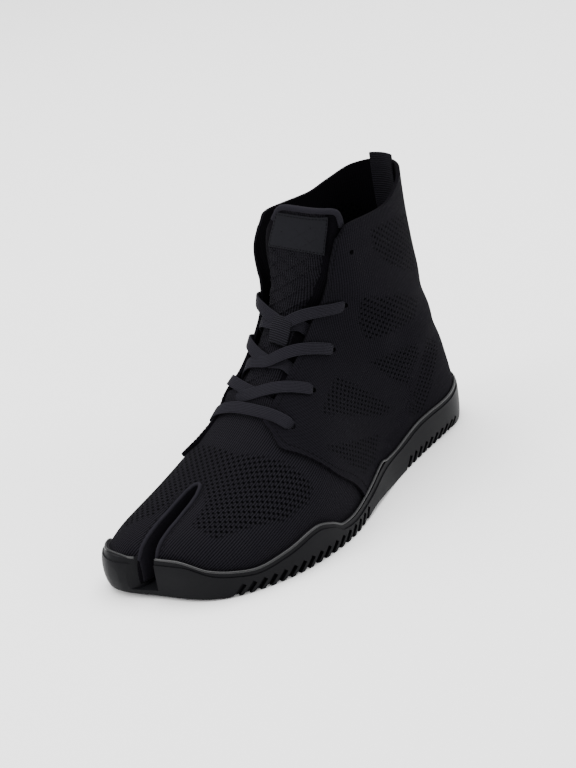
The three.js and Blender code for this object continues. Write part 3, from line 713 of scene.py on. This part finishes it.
def vamp_chart(p, q):
    s, a = vamp_spot(p, q)
    girth = np.where(a >= 0, look_up(GIRTHS[0], s, np.abs(a)), look_up(GIRTHS[1], s, np.abs(a)))
    x, y, z = bare(s, a).T
    gone = np.interp(s, RIDGE_ROWS, RIDGE_LENGTH)
    opened = openness(x, y, VAMP_OPEN) * (np.abs(a) < 0.24)
    return np.stack([girth, gone, opened], -1)


bm = moved_grid("vamp", vamp_place, ALONG_VAMP, AROUND_VAMP, wrap=True, inside=(200, -5, 20),
                chart=vamp_chart)
toe_ring = [edge for edge in bm.edges if edge.is_boundary and edge.verts[0].co.x > 0.1]
bmesh.ops.holes_fill(bm, edges=toe_ring)
vamp = publish("vamp", bm, vamp_knit)
thicken(vamp, KNIT)
settle(vamp)
cut(vamp, split_block())
crisp(vamp, 50)
finish_piece(vamp, "knit_cloth", "upper")

# %% [markdown]
# ### The gusset and the rims
# Smooth stretch cloth lines the slot and rounds its web. The vamp's raw edge is turned over a thin
# piping with a row of stitches beside it.

# %% Gusset and rims
RIM_STEPS = 120


def top_of_form(x, y):
    """Height of the form's upper side over a point of the forefoot."""
    x, y = np.atleast_1d(x), np.atleast_1d(y)
    ats = VAMP[:, 0] * LENGTH
    s = np.interp(-x, -ats, np.arange(len(ats)))
    turns = np.linspace(-0.25, 0.25, 401)
    heights = np.empty(len(x))
    for k in range(len(x)):
        line = bare(np.full(401, s[k]), turns)
        heights[k] = np.interp(y[k], line[:, 1], line[:, 2], left=np.nan, right=np.nan)
    return heights


def slot_line(front_lateral=0.952, front_medial=0.966, inset=0.0):
    """The slot's outline from the lateral toe over the web to the medial toe."""
    t = np.linspace(-1, 1, 2 * RIM_STEPS + 1)
    front = np.where(t < 0, front_lateral, front_medial)
    x = LENGTH * (WEB[0] + (front - WEB[0]) * np.abs(t) ** 1.6)
    side = np.where(t < 0, 1, -1)
    return x - inset * (np.abs(t) < 0.02), split_y(x) + side * (split_half(x) + inset) * (t != 0)


x, y = slot_line()
z = top_of_form(x, y)
good = ~np.isnan(z)
x, y, z = x[good], y[good], z[good]
print("rim from", (x[0], y[0], z[0]), "to", (x[-1], y[-1], z[-1]))


def slot_wall(p, q):
    i = p * (len(x) - 1)
    line = np.stack([np.interp(i, np.arange(len(x)), part) for part in (x, y, z)], -1)
    low = bed(line[:, 0]) + 1.0
    line[:, 2] = low + (line[:, 2] + 0.2 - low) * q
    belly = np.sin(np.pi * q) * 0.7
    line[:, 1] -= belly * np.sign(line[:, 1] - split_y(line[:, 0]))
    return line


bm = moved_grid("gusset", slot_wall, 160, 16, inside=(240, -8, 20))
gusset = publish("gusset", bm, gusset_cloth)
thicken(gusset, 1.2, offset=0.0)
finish_piece(gusset, "knit_cloth")

rim = np.stack([x, y, z + 0.5], -1)
lean = outward(np.interp(-x, -VAMP[:, 0] * LENGTH, np.arange(len(VAMP))), np.zeros(len(x)))
piping = sweep("split_piping", rim, lean, round_outline, np.full((len(rim), 2), 1.15), 10, binding)
finish_piece(piping, "knit_cloth")

# %% [markdown]
# ## The quarters
# Two thicker knitted panels wrap the ankle. Their free edges at the front and at the throat stand off
# the vamp a little. Each panel is one grid between its front edge, its eyestay, the topline and the
# back seam. The wales run upright, so the map measures level distance round the ankle at each height.

# %% Level distance round the ankle
SLICE_TURNS = np.linspace(0.5, 0.01, 140)
SLICE_HEIGHTS = np.linspace(4, 190, 94)


def slices(sign):
    s = np.linspace(8, LAST_ROW, 260)
    xs, ys = [], []
    for turn in SLICE_TURNS:
        points = bare(s, np.full(len(s), sign * turn))
        rising = np.maximum.accumulate(points[:, 2]) + np.arange(len(s)) * EASE
        xs.append(np.interp(SLICE_HEIGHTS, rising, points[:, 0]))
        ys.append(np.interp(SLICE_HEIGHTS, rising, points[:, 1]))
    steps = np.hypot(np.diff(xs, axis=0), np.diff(ys, axis=0))
    return np.vstack([np.zeros(len(SLICE_HEIGHTS)), np.cumsum(steps, 0)])


def level_distance(table, a, z):
    i = np.clip((0.5 - np.abs(a)) / 0.49 * 139, 0, 138.999)
    j = np.clip((z - 4) / 2, 0, 92.999)
    i0, j0 = i.astype(int), j.astype(int)
    u, v = i - i0, j - j0
    return (table[i0, j0] * (1 - u) * (1 - v) + table[i0 + 1, j0] * u * (1 - v)
            + table[i0, j0 + 1] * (1 - u) * v + table[i0 + 1, j0 + 1] * u * v)


SLICES = {1: slices(1), -1: slices(-1)}
print("round the heel at 60 mm", SLICES[1][-1, 28].round(1), "mm")

# %% Quarters
# side, x and z of both ends of a soft trough, depth and half width in millimetres
CREASES = [
    (1, 128, 92, 96, 84, 0.5, 8), (1, 112, 104, 84, 101, 0.4, 7), (1, 30, 96, 62, 88, 0.9, 9),
    (1, 24, 70, 48, 58, 0.6, 8), (-1, 126, 92, 92, 86, 0.7, 8), (-1, 30, 95, 66, 90, 0.9, 9),
    (1, 100, 150, 70, 140, 0.4, 10), (-1, 100, 148, 66, 142, 0.6, 10),
]
FLARE = 3.2
ALONG_QUARTER, AROUND_QUARTER = 150, 150


def creased(points, sign):
    x, z = points[:, 0], points[:, 2]
    depth = np.zeros(len(x))
    for side, x0, z0, x1, z1, deep, half in CREASES:
        if side != sign:
            continue
        t = np.clip(((x - x0) * (x1 - x0) + (z - z0) * (z1 - z0)) / ((x1 - x0) ** 2 + (z1 - z0) ** 2), 0, 1)
        away = np.hypot(x - x0 - t * (x1 - x0), z - z0 - t * (z1 - z0)) / half
        depth += deep * np.exp(-away ** 2) - 0.45 * deep * np.exp(-(away - 1.9) ** 2)
    return depth


def quarter_spot(p, q, sign):
    column = 1 if sign > 0 else 2
    a = 0.1 + 0.4 * q
    for _ in range(12):
        front = curve(QUARTER_FRONT, a, column)
        s = front + (curve(TOPLINE, a) - front) * p
        edge = curve(EYESTAY, s, column)
        a = edge + (0.502 - edge) * q ** 1.1
    return s, a, s - front, a - edge


def quarter_out(s, a, from_front, from_edge, sign):
    out = QUARTER_STEP + 1.5 * np.exp(-from_front / 0.35) + 0.5 * np.exp(-from_edge / 0.012)
    if sign < 0:
        high = smooth(s, 13, 17) * (1 - smooth(s, 20, 23.5))
        out = out + FLARE * high * np.exp(-from_edge / 0.035)
    return out


def on_quarter(row, turn, sign):
    """Height of a quarter's surface over the bare skin at a row and turn."""
    column = 1 if sign > 0 else 2
    row, turn = np.array([float(row)]), np.array([float(turn)])
    front, edge = curve(QUARTER_FRONT, turn, column), curve(EYESTAY, row, column)
    return float(quarter_out(row, turn, np.maximum(0, row - front), np.maximum(0, turn - edge), sign)[0])


def make_quarter(name, sign):
    def place(p, q):
        s, a, from_front, from_edge = quarter_spot(p, q, sign)
        points = bare(s, sign * a)
        out = quarter_out(s, a, from_front, from_edge, sign) - creased(points, sign)
        return kept_up(skin(s, sign * a, out))

    def chart(p, q):
        s, a, from_front, from_edge = quarter_spot(p, q, sign)
        x_, y_, z_ = bare(s, sign * a).T
        opened = openness(x_, z_, QUARTER_OPEN)
        return np.stack([level_distance(SLICES[sign], a, z_), z_, opened], -1)

    bm = moved_grid(name, place, ALONG_QUARTER, AROUND_QUARTER, inside=(90, 0, 60), chart=chart)
    piece = publish(name, bm, quarter_knit)
    piece.data.materials.append(lining_and_edge_shade)
    # The dark lining material also covers the quarters' cut edges, as painted shade along their raised edges.
    thicken(piece, KNIT, lining_and_edge_shade=1)
    settle(piece)
    for hole in HOLES:
        row, turn = (hole[0], hole[1]) if sign > 0 else (hole[2], -hole[3])
        cut(piece, punch(row, turn))
    crisp(piece, 60)
    return finish_piece(piece, "knit_cloth")


def punch(s, a, radius=1.5, depth=14):
    """A round punch through the wall at a row and turn."""
    s, a = np.array([float(s)]), np.array([float(a)])
    axis = Vector(outward(s, a)[0])
    bm = bmesh.new()
    bmesh.ops.create_cone(bm, cap_ends=True, segments=20, radius1=radius * MM, radius2=radius * MM,
                          depth=depth * MM)
    turned = axis.to_track_quat("Z", "Y").to_matrix().to_4x4()
    spot_ = Matrix.Translation(Vector(to_frame(skin(s, a, 1.0)[0])))
    bmesh.ops.transform(bm, matrix=spot_ @ turned, verts=bm.verts)
    return publish("punch", bm)


make_quarter("quarter_lateral", 1)
make_quarter("quarter_medial", -1)

# %% [markdown]
# ### Stitches
# Thread shows as short dashes sunk a little into the cloth. One small bar is made for each dash, all in
# one mesh, along the quarters' edges and beside the split.

# %% Stitches


def dashes(name, points, length=1.7, gap=1.1, radius=0.22):
    steps = np.linalg.norm(np.diff(points, axis=0), axis=1)
    gone = np.concatenate([[0], np.cumsum(steps)])
    bm = bmesh.new()
    for stop in np.arange(0, gone[-1] - length, length + gap):
        spots = [Vector(to_frame([np.interp(stop + k * length, gone, points[:, j]) for j in range(3)]))
                 for k in (0, 1)]
        ahead = spots[1] - spots[0]
        turned = ahead.to_track_quat("Z", "Y").to_matrix().to_4x4()
        middle = Matrix.Translation((spots[0] + spots[1]) / 2)
        bmesh.ops.create_cone(bm, cap_ends=True, segments=6, radius1=radius * MM, radius2=radius * MM,
                              depth=ahead.length, matrix=middle @ turned)
    piece = publish(name, bm, thread)
    return finish_piece(piece, "knit_cloth")


def quarter_stitches(name, sign, inset=2.6):
    column = 1 if sign > 0 else 2
    a = np.linspace(0.48, 0.07, 300)
    front = curve(QUARTER_FRONT, a, column) + inset / 12.5
    low = np.stack([front, a], -1)
    s = np.linspace(low[-1, 0], 23.0, 400)
    side = np.stack([s, curve(EYESTAY, s, column) + 0.011], -1)
    run = np.vstack([low, side])
    keep = run[:, 1] >= curve(EYESTAY, run[:, 0], column) + 0.01
    run = run[keep]
    s, a = run.T
    out = quarter_out(s, a, np.maximum(0, s - curve(QUARTER_FRONT, a, column)),
                      np.maximum(0, a - curve(EYESTAY, s, column)), sign)
    points = skin(s, sign * a, out + 0.05)
    up_ = points[:, 2] > wall_top(points[:, 0]) + 1
    return dashes(name, points[up_])


# %% [markdown]
# ## The sole
# The cup sole is moulded in one. Its wall is the last grown by the rubber's thickness, cut by the ground
# and by the wavy top edge. A thinner lip stands above a groove. Slanted notches part the lugs.

# %% Outsole
LIP_HEIGHT, LIP_STEP = 3.0, 0.7
BLANK_ALONG, BLANK_AROUND = 200, 150


def blank(out):
    """The whole form grown by out, as a closed solid."""
    def place(p, q):
        return skin(LAST_ROW * p, q, np.full(len(p), float(out)))
    return publish("blank", moved_grid("blank", place, BLANK_ALONG, BLANK_AROUND, wrap=True, caps=True))


def slab(low, high, steps=160):
    def place(t, side, up_):
        x = LENGTH * (-0.1 + 1.2 * t)
        return np.stack([x, side * 100, np.where(up_ > 0, high(x), low(x))], -1)
    return block(place, steps)


def sky(x):
    return np.full(len(x), 2.0 * COLLAR_HEIGHT)


# turn, first row, last row
LUG_RUNS = [(0.25, 5.6, 11.6), (0.75, 5.5, 11.2), (0.34, 13.3, 15.9), (0.66, 13.3, 15.9)]
LUG = {"pitch": 6.4, "width": 2.8, "depth": 2.8, "height": 8.5, "slant": 0.75}
FLEX = {"count": 4, "first": 0.66, "pitch": 0.065, "width": 2.4, "depth": 1.6, "span": 0.7}


def notches():
    bm = bmesh.new()
    for turn, first, last in LUG_RUNS:
        s = np.linspace(first, last, 400)
        edge = skin(s, np.full(400, turn), np.full(400, RUBBER))
        gone = np.concatenate([[0], np.cumsum(np.linalg.norm(np.diff(edge, axis=0), axis=1))])
        for stop in np.arange(0, gone[-1], LUG["pitch"]):
            here = np.array([np.interp(stop, gone, edge[:, k]) for k in range(3)])
            near = np.array([np.interp(stop + 1, gone, edge[:, k]) for k in range(3)]) - here
            size = Matrix.Diagonal(Vector((LUG["width"], 2 * LUG["depth"], 2 * LUG["height"], 1)) * MM)
            size[3][3] = 1
            heading = Matrix.Rotation(np.arctan2(near[1], near[0]), 4, "Z")
            slant = Matrix.Rotation(LUG["slant"], 4, "Y")
            spot_ = Matrix.Translation(Vector(to_frame((here[0], here[1], ground(here[0])))))
            bmesh.ops.create_cube(bm, size=1, matrix=spot_ @ heading @ slant @ size)
    return publish("notches", bm)


def flex_grooves():
    bm = bmesh.new()
    for k in range(FLEX["count"]):
        x_ = (FLEX["first"] + k * FLEX["pitch"]) * LENGTH
        size = Matrix.Diagonal(Vector((FLEX["width"], FLEX["span"] * BALL_WIDTH, 2 * FLEX["depth"], 1)) * MM)
        size[3][3] = 1
        bmesh.ops.create_cube(bm, size=1, matrix=Matrix.Translation(to_frame((x_, 0, ground(x_)))) @ size)
    return publish("flex_grooves", bm)


sole = blank(RUBBER)
cut(sole, slab(ground, lambda x: wall_top(x) - LIP_HEIGHT), "INTERSECT")
lip = blank(RUBBER - LIP_STEP)
cut(lip, slab(bed, wall_top), "INTERSECT")
cut(sole, lip, "UNION")
room = blank(GAP)
cut(room, slab(bed, sky), "INTERSECT")
cut(sole, room)
cut(sole, split_block(low=BASE))
cut(sole, notches())
cut(sole, flex_grooves())
sole.name = "cup_sole"
sole.data.materials.clear()
sole.data.materials.append(rubber)
crisp(sole, 30)
finish_piece(sole, "sole_rubber", "outsole")

# %% [markdown]
# ### The light line along the wall
# A thin rounded bead finishes the wall's top edge. It follows the line where the wall's outside reaches
# its top height, walked section by section along each side.

# %% Bead along the wall
BEAD = 0.75


def wall_line(out, height):
    def crossing(values, marks):
        i = int(np.argmax(values < 0))
        t = values[i - 1] / (values[i - 1] - values[i])
        return marks[i - 1] + (marks[i] - marks[i - 1]) * t

    def side(sign):
        turns = np.linspace(0.03, 0.5, 240)
        found = []
        for s in np.linspace(2.0, 17.6, 420):
            line = skin(np.full(240, s), sign * turns, np.full(240, out))
            values = line[:, 2] - height(line[:, 0])
            if values[0] > 0 > values[-1]:
                found.append((s, sign * crossing(values, turns)))
        return found

    lateral, medial = side(1), side(-1)
    spots = lateral[::-1] + medial
    s, a = np.array(spots).T
    points = skin(s, a, np.full(len(s), out))
    normals = outward(s, a)
    return points, normals


def even(points, normals, step=1.2):
    gone = np.concatenate([[0], np.cumsum(np.linalg.norm(np.diff(points, axis=0), axis=1))])
    marks = np.linspace(0, gone[-1], max(3, int(gone[-1] / step)))
    lines = [np.stack([np.interp(marks, gone, part[:, k]) for k in range(3)], -1)
             for part in (points, normals)]
    for _ in range(3):
        for line in lines:
            line[1:-1] = (line[:-2] + 2 * line[1:-1] + line[2:]) / 4
    return lines


def outside_split(points):
    x_, y_ = points[:, 0], points[:, 1]
    return (x_ < WEB[0] * LENGTH) | (np.abs(y_ - split_y(x_)) > split_half(x_) - 0.2)


def make_beads(name, out, height, radius, material):
    points, normals = wall_line(out, height)
    keep = outside_split(points)
    edges = np.flatnonzero(np.diff(keep.astype(int)))
    runs = np.split(np.arange(len(points)), edges + 1)
    runs = [run for run in runs if keep[run[0]] and len(run) > 5]
    for k, run in enumerate(runs):
        line, lean_ = even(points[run], normals[run])
        bead = sweep(f"{name}_{k + 1}", line, lean_, round_outline, np.full((len(line), 2), radius), 10,
                     material)
        finish_piece(bead, "sole_rubber")


make_beads("wall_bead", RUBBER - LIP_STEP - BEAD * 0.5, wall_top, BEAD, shiny_rubber)
seam_x, seam_y = slot_line(0.94, 0.955, inset=2.6)
seam = np.stack([seam_x, seam_y, top_of_form(seam_x, seam_y) + 0.05], -1)
seam = seam[~np.isnan(seam[:, 2])]
dashes("split_stitches", seam)
quarter_stitches("stitches_lateral", 1)
quarter_stitches("stitches_medial", -1)

# %% [markdown]
# ## The tongue
# A padded knitted panel with a quilted diamond pattern, on a thinner wing that reaches under both
# eyestays. Its top edge is bound. The patch near its top is left bare.

# %% Tongue
TONGUE_TOP, TONGUE_FOOT = 24.1, 9.2
# row, medial turn, lateral turn of the padded panel
PANEL = [(9, 0.03, 0.045), (13.3, 0.035, 0.062), (15.4, 0.045, 0.078), (17.4, 0.06, 0.098),
         (20.9, 0.06, 0.118), (23.2, 0.05, 0.122), (24.1, 0.046, 0.118), (25, 0.046, 0.118)]
WING, PAD = 1.2, 2.2
# turn, row of the tongue's top edge
TONGUE_EDGE = [(-0.06, 24.1), (0.114, 24.06), (0.2, 23.9)]
UNDER = -2.0 - GAP
QUILT = 9.0


def wing_place(p, q):
    s = TONGUE_FOOT + (TONGUE_TOP - TONGUE_FOOT) * p
    low = -np.minimum(curve(EYESTAY, s, 2) + 0.03, 0.05 + 0.1 * smooth(TONGUE_TOP - s, 0, 3))
    high = curve(EYESTAY, s, 1) + 0.03 * smooth(TONGUE_TOP - s, 0, 3)
    a = low + (high - low) * q
    return skin(s * curve(TONGUE_EDGE, a) / TONGUE_TOP, a, np.full(len(s), UNDER - 1.2))


bm = moved_grid("tongue_wings", wing_place, 80, 40, inside=(100, 0, 80),
                chart=lambda p, q: np.stack([q * 70, p * 140, 0 * p], -1))
wings = publish("tongue_wings", bm, lining_and_edge_shade)
thicken(wings, WING, bevel=0.4)
finish_piece(wings, "knit_cloth", "tongue")


def panel_spot(p, q):
    s = TONGUE_FOOT + (TONGUE_TOP - TONGUE_FOOT) * p
    low, high = -curve(PANEL, s, 1), curve(PANEL, s, 2)
    a = low + (high - low) * q
    return s * curve(TONGUE_EDGE, a) / TONGUE_TOP, a


def panel_chart(p, q):
    s, a = panel_spot(p, q)
    x_, y_, z_ = bare(s, a).T
    return np.stack([y_, z_ * 1.1 - x_ * 0.2, 0 * z_], -1)


def quilt_height(p, q):
    """Low grooves in two slanted directions between puffed diamonds."""
    across, down, _ = panel_chart(p, q).T
    near = 1e9
    for slope in (0.62, -0.62):
        t = (down * 1.0 + across * slope) / QUILT
        near = np.minimum(near, np.abs(t - np.rint(t)) * QUILT)
    return 0.8 * np.exp(-(near / 0.5) ** 2)


def panel_place(p, q):
    s, a = panel_spot(p, q)
    crown = 1 - np.abs(2 * q - 1) ** 6
    end = 1 - np.exp(-(1 - p) * 60)
    out = UNDER - PAD + PAD * crown * (0.35 + 0.65 * end) + quilt_height(p, q) * crown
    return skin(s, a, out)


bm = moved_grid("tongue_pad", panel_place, 260, 90, inside=(100, 0, 80), chart=panel_chart)
pad = publish("tongue_pad", bm, vamp_knit)
thicken(pad, 1.0)
finish_piece(pad, "knit_cloth")

# %% Tongue binding, patch and keeper


def edge_line(places, out):
    s, a = np.array(places).T
    return skin(s, a, np.full(len(s), out)), outward(s, a)


q = np.linspace(0, 1, 40)
top_a = -0.052 + 0.25 * q
top_row = curve(TONGUE_EDGE, top_a) - 0.9 * np.abs(2 * q - 1) ** 10
line, lean_ = edge_line(np.stack([top_row, top_a], -1), UNDER - 0.7)
roll = sweep("tongue_binding", line, lean_, round_outline, np.full((40, 2), 1.8), 12, binding)
finish_piece(roll, "knit_cloth")

# rows and turns of the two flat pieces on the tongue: from, to, medial, lateral
PATCH = (20.75, 23.8, 0.042, 0.118)
KEEPER = (13.3, 14.9, -0.004, 0.05)


def flat_piece(name, ends, out, thickness, material, node, slot, pitch=(46.0, 20.0), bulge=0.0):
    first, last, medial, lateral = ends

    def place(p, q):
        s = first + (last - first) * p
        a = -medial + (lateral + medial) * q
        return skin(s, a, out + bulge * np.sin(np.pi * p) ** 0.5)

    def chart(p, q):
        return np.stack([q * pitch[0], p * pitch[1], 0 * p], -1)

    bm = moved_grid(name, place, 30, 30, inside=(100, 0, 80), chart=chart)
    piece = publish(name, bm, material)
    thicken(piece, thickness, bevel=0.3)
    return finish_piece(piece, slot, node)


flat_piece("tongue_patch", PATCH, UNDER + 0.7, 0.8, patch_cloth, "tongue_label", "webbing")
flat_piece("keeper", KEEPER, UNDER + 1.6, 1.1, keeper_weave, "lace_keeper", "webbing",
           pitch=(11.0, 17.0), bulge=3.1)

# %% [markdown]
# Short stitches hold the bare patch along its border, and a few loops of thread hold the keeper's foot.

# %% Stitches on the tongue


def border(ends, out, inset_row, inset_turn):
    first, last, medial, lateral = ends
    corners = [(first + inset_row, -medial + inset_turn), (last - inset_row, -medial + inset_turn),
               (last - inset_row, lateral - inset_turn), (first + inset_row, lateral - inset_turn)]
    corners.append(corners[0])
    t = np.linspace(0, 4, 161)
    s, a = (np.interp(t, range(5), [corner[k] for corner in corners]) for k in (0, 1))
    return skin(s, a, np.full(161, out))


dashes("patch_stitches", border(PATCH, UNDER + 0.72, 0.14, 0.006), length=1.4, gap=0.9, radius=0.18)
loop_turns = np.linspace(-KEEPER[2], KEEPER[3], 60)
loops = skin(np.full(60, KEEPER[0] - 0.06), loop_turns, UNDER + 0.9 + 0.5 * np.abs(np.sin(loop_turns * 300)))
dashes("keeper_stitches", loops, length=1.2, gap=0.3, radius=0.3)

# %% [markdown]
# ## The laces
# One flat woven lace. The bottom run lies straight across from hole to hole. Each higher strand comes
# from under an eyestay, crosses the tongue, climbs the other quarter and goes into its hole. The outline
# is a flat bar with round edges, which narrows where it turns into the hole.

# %% Laces
LACE_WIDTH, LACE_THICK = 7.0, 1.3
LACE_STEPS = 60


def lace_run(name, spots, node=None, pinch=(True, True)):
    """A strand through spots of row, turn and height over the skin."""
    spots = np.asarray(spots, float)
    marks = np.linspace(0, 1, LACE_STEPS + 1)
    knots = skin(spots[:, 0], spots[:, 1], spots[:, 2])
    gone = np.concatenate([[0], np.cumsum(np.linalg.norm(np.diff(knots, axis=0), axis=1))])
    gone /= gone[-1]
    s, a, out = (np.interp(marks, gone, spots[:, k]) for k in range(3))
    for _ in range(5):
        for line in (s, a, out):
            line[1:-1] = (line[:-2] + 2 * line[1:-1] + line[2:]) / 4
    points, normals = skin(s, a, out), outward(s, a)
    for _ in range(4):
        points[1:-1] = (points[:-2] + 2 * points[1:-1] + points[2:]) / 4
    half = np.full(LACE_STEPS + 1, LACE_WIDTH / 2)
    length = np.linalg.norm(np.diff(points, axis=0), axis=1).sum()
    for end, narrows in zip((0, 1), pinch):
        away = np.abs(marks - end) * length
        if narrows:
            half = half * (0.42 + 0.58 * smooth(away, 0.5, 8.5))
    print(f"{name}: {length:.0f} mm of lace")
    sizes = np.stack([half, np.full(LACE_STEPS + 1, LACE_THICK / 2)], -1)

    def chart(p, q):
        wide, high = flat_outline(q)
        return np.stack([wide * np.interp(p, marks, half), p * length, 0 * p], -1)

    piece = sweep(name, points, normals, flat_outline, sizes, 24, lace_weave, chart)
    return finish_piece(piece, "lace_cord", *([node] if node else []))


LIFT = 1.0
# row, turn and height where the two strands of each pair cross
CROSSINGS = [(10.95, 0.01, -1.1), (12.35, 0.014, -1.1), (14.26, 0.025, -1.6)]


def make_bar():
    row_l, turn_l, row_m, turn_m = HOLES[0]
    over_l, over_m = on_quarter(row_l, turn_l, 1) + LIFT, on_quarter(row_m, turn_m, -1) + LIFT
    spots = [(row_m, -turn_m, -2.0), (row_m + 0.02, -turn_m + 0.004, over_m - 0.6),
             (row_m + 0.08, -turn_m + 0.03, over_m + 0.4), (row_m + 0.15, -0.03, over_m + 0.2),
             (row_m + 0.35, 0.03, over_l + 0.2), (row_l - 0.1, turn_l - 0.03, over_l + 0.5),
             (row_l - 0.01, turn_l - 0.003, over_l), (row_l, turn_l, over_l - 0.8),
             (row_l, turn_l + 0.001, -3.0)]
    return lace_run("lace_bottom", spots, "lace_bar")


def make_cross(k):
    row_l, turn_l, row_m, turn_m = HOLES[k]
    next_l, next_turn_l, next_m, next_turn_m = HOLES[k + 1]
    edge_l, edge_m = curve(EYESTAY, row_l, 1), curve(EYESTAY, row_m, 2)
    up_l, up_m = curve(EYESTAY, next_l, 1), curve(EYESTAY, next_m, 2)
    start_l, start_m = row_l + 0.12, row_m + 0.12
    mid_row, mid_turn, rest = CROSSINGS[k]
    under = -2.6
    edge_up_l, edge_up_m = on_quarter(next_l, up_l, 1) + LIFT, on_quarter(next_m, up_m, -1) + LIFT
    over_l, over_m = on_quarter(next_l, next_turn_l, 1) + LIFT, on_quarter(next_m, next_turn_m, -1) + LIFT
    part_l = (up_l - mid_turn) / (next_turn_l - mid_turn)
    part_m = (up_m + mid_turn) / (next_turn_m + mid_turn)
    at_l, at_m = mid_row + (next_l - mid_row) * part_l, mid_row + (next_m - mid_row) * part_m
    above = [(start_m, -edge_m - 0.02, under), (start_m + 0.1, -edge_m + 0.02, -1.4),
             (mid_row, mid_turn, rest + 1.4), (at_l - 0.1, up_l - 0.01, edge_up_l + 0.2),
             (next_l - 0.04, next_turn_l - 0.004, over_l), (next_l, next_turn_l, over_l - 0.8),
             (next_l, next_turn_l + 0.001, -3.0)]
    below = [(start_l, edge_l + 0.02, under), (start_l + 0.1, edge_l - 0.02, -1.8),
             (mid_row, mid_turn, rest), (at_m - 0.1, -up_m + 0.01, edge_up_m + 0.2),
             (next_m - 0.04, -next_turn_m + 0.004, over_m), (next_m, -next_turn_m, over_m - 0.8),
             (next_m, -next_turn_m - 0.001, -3.0)]
    lace_run(f"lace_up_{k + 1}", above, f"lace_cross_{k + 1}", pinch=(False, True))
    lace_run(f"lace_under_{k + 1}", below, pinch=(False, True))


make_bar()
for k in range(3):
    make_cross(k)

# %% [markdown]
# ## Heel webbing and footbed
# Ribbed webbing covers the back seam inside the collar and stands up as a short tab. The footbed's form
# is right as it is and gets its cover cloth.

# %% Heel webbing and footbed


def webbing_place(p, q):
    s = 21.6 + (24.3 - 21.6) * p
    return skin(s, 0.455 + 0.09 * q, np.full(len(s), -1.35))


bm = moved_grid("heel_webbing", webbing_place, 40, 20, inside=(70, 0, 100),
                chart=lambda p, q: np.stack([q * 17.0, p * 62.0, 0 * p], -1))
webbing = publish("heel_webbing", bm, keeper_weave)
thicken(webbing, 1.2, bevel=0.35)
finish_piece(webbing, "webbing", "heel_tab")
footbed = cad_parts["insole"]
footbed.data.materials.clear()
footbed.data.materials.append(foam)

# %% [markdown]
# ## Floor and light
# A plain pale floor, a bright even sky and three soft lamps, as in a catalogue photo.

# %% Floor and light
bm = bmesh.new()
bmesh.ops.create_grid(bm, x_segments=1, y_segments=1, size=4)
floor = publish("floor", bm)
floor.location.z = -0.0003
white, tree, shader = new_material("white paper", 0.9)
shader.inputs["Base Color"].default_value = colour("#fbfbfb")
floor.data.materials.append(white)

world = bpy.context.scene.world or bpy.data.worlds.new("sky")
bpy.context.scene.world = world
world.use_nodes = True
world.node_tree.nodes["Background"].inputs["Color"].default_value = (1, 1, 1, 1)
world.node_tree.nodes["Background"].inputs["Strength"].default_value = 1.1


def lamp(name, spot, size, power):
    light = bpy.data.lights.new(name, "AREA")
    light.size = size
    light.energy = power
    piece = bpy.data.objects.new(name, light)
    piece.location = spot
    piece.rotation_euler = Vector(spot).to_track_quat("Z", "Y").to_euler()
    bpy.context.scene.collection.objects.link(piece)


lamp("overhead", (-0.3, -0.3, 2.2), 2.6, 120)
lamp("front", (1.1, -0.5, 0.8), 0.5, 8)
lamp("side", (-0.7, 1.0, 0.8), 0.5, 6)
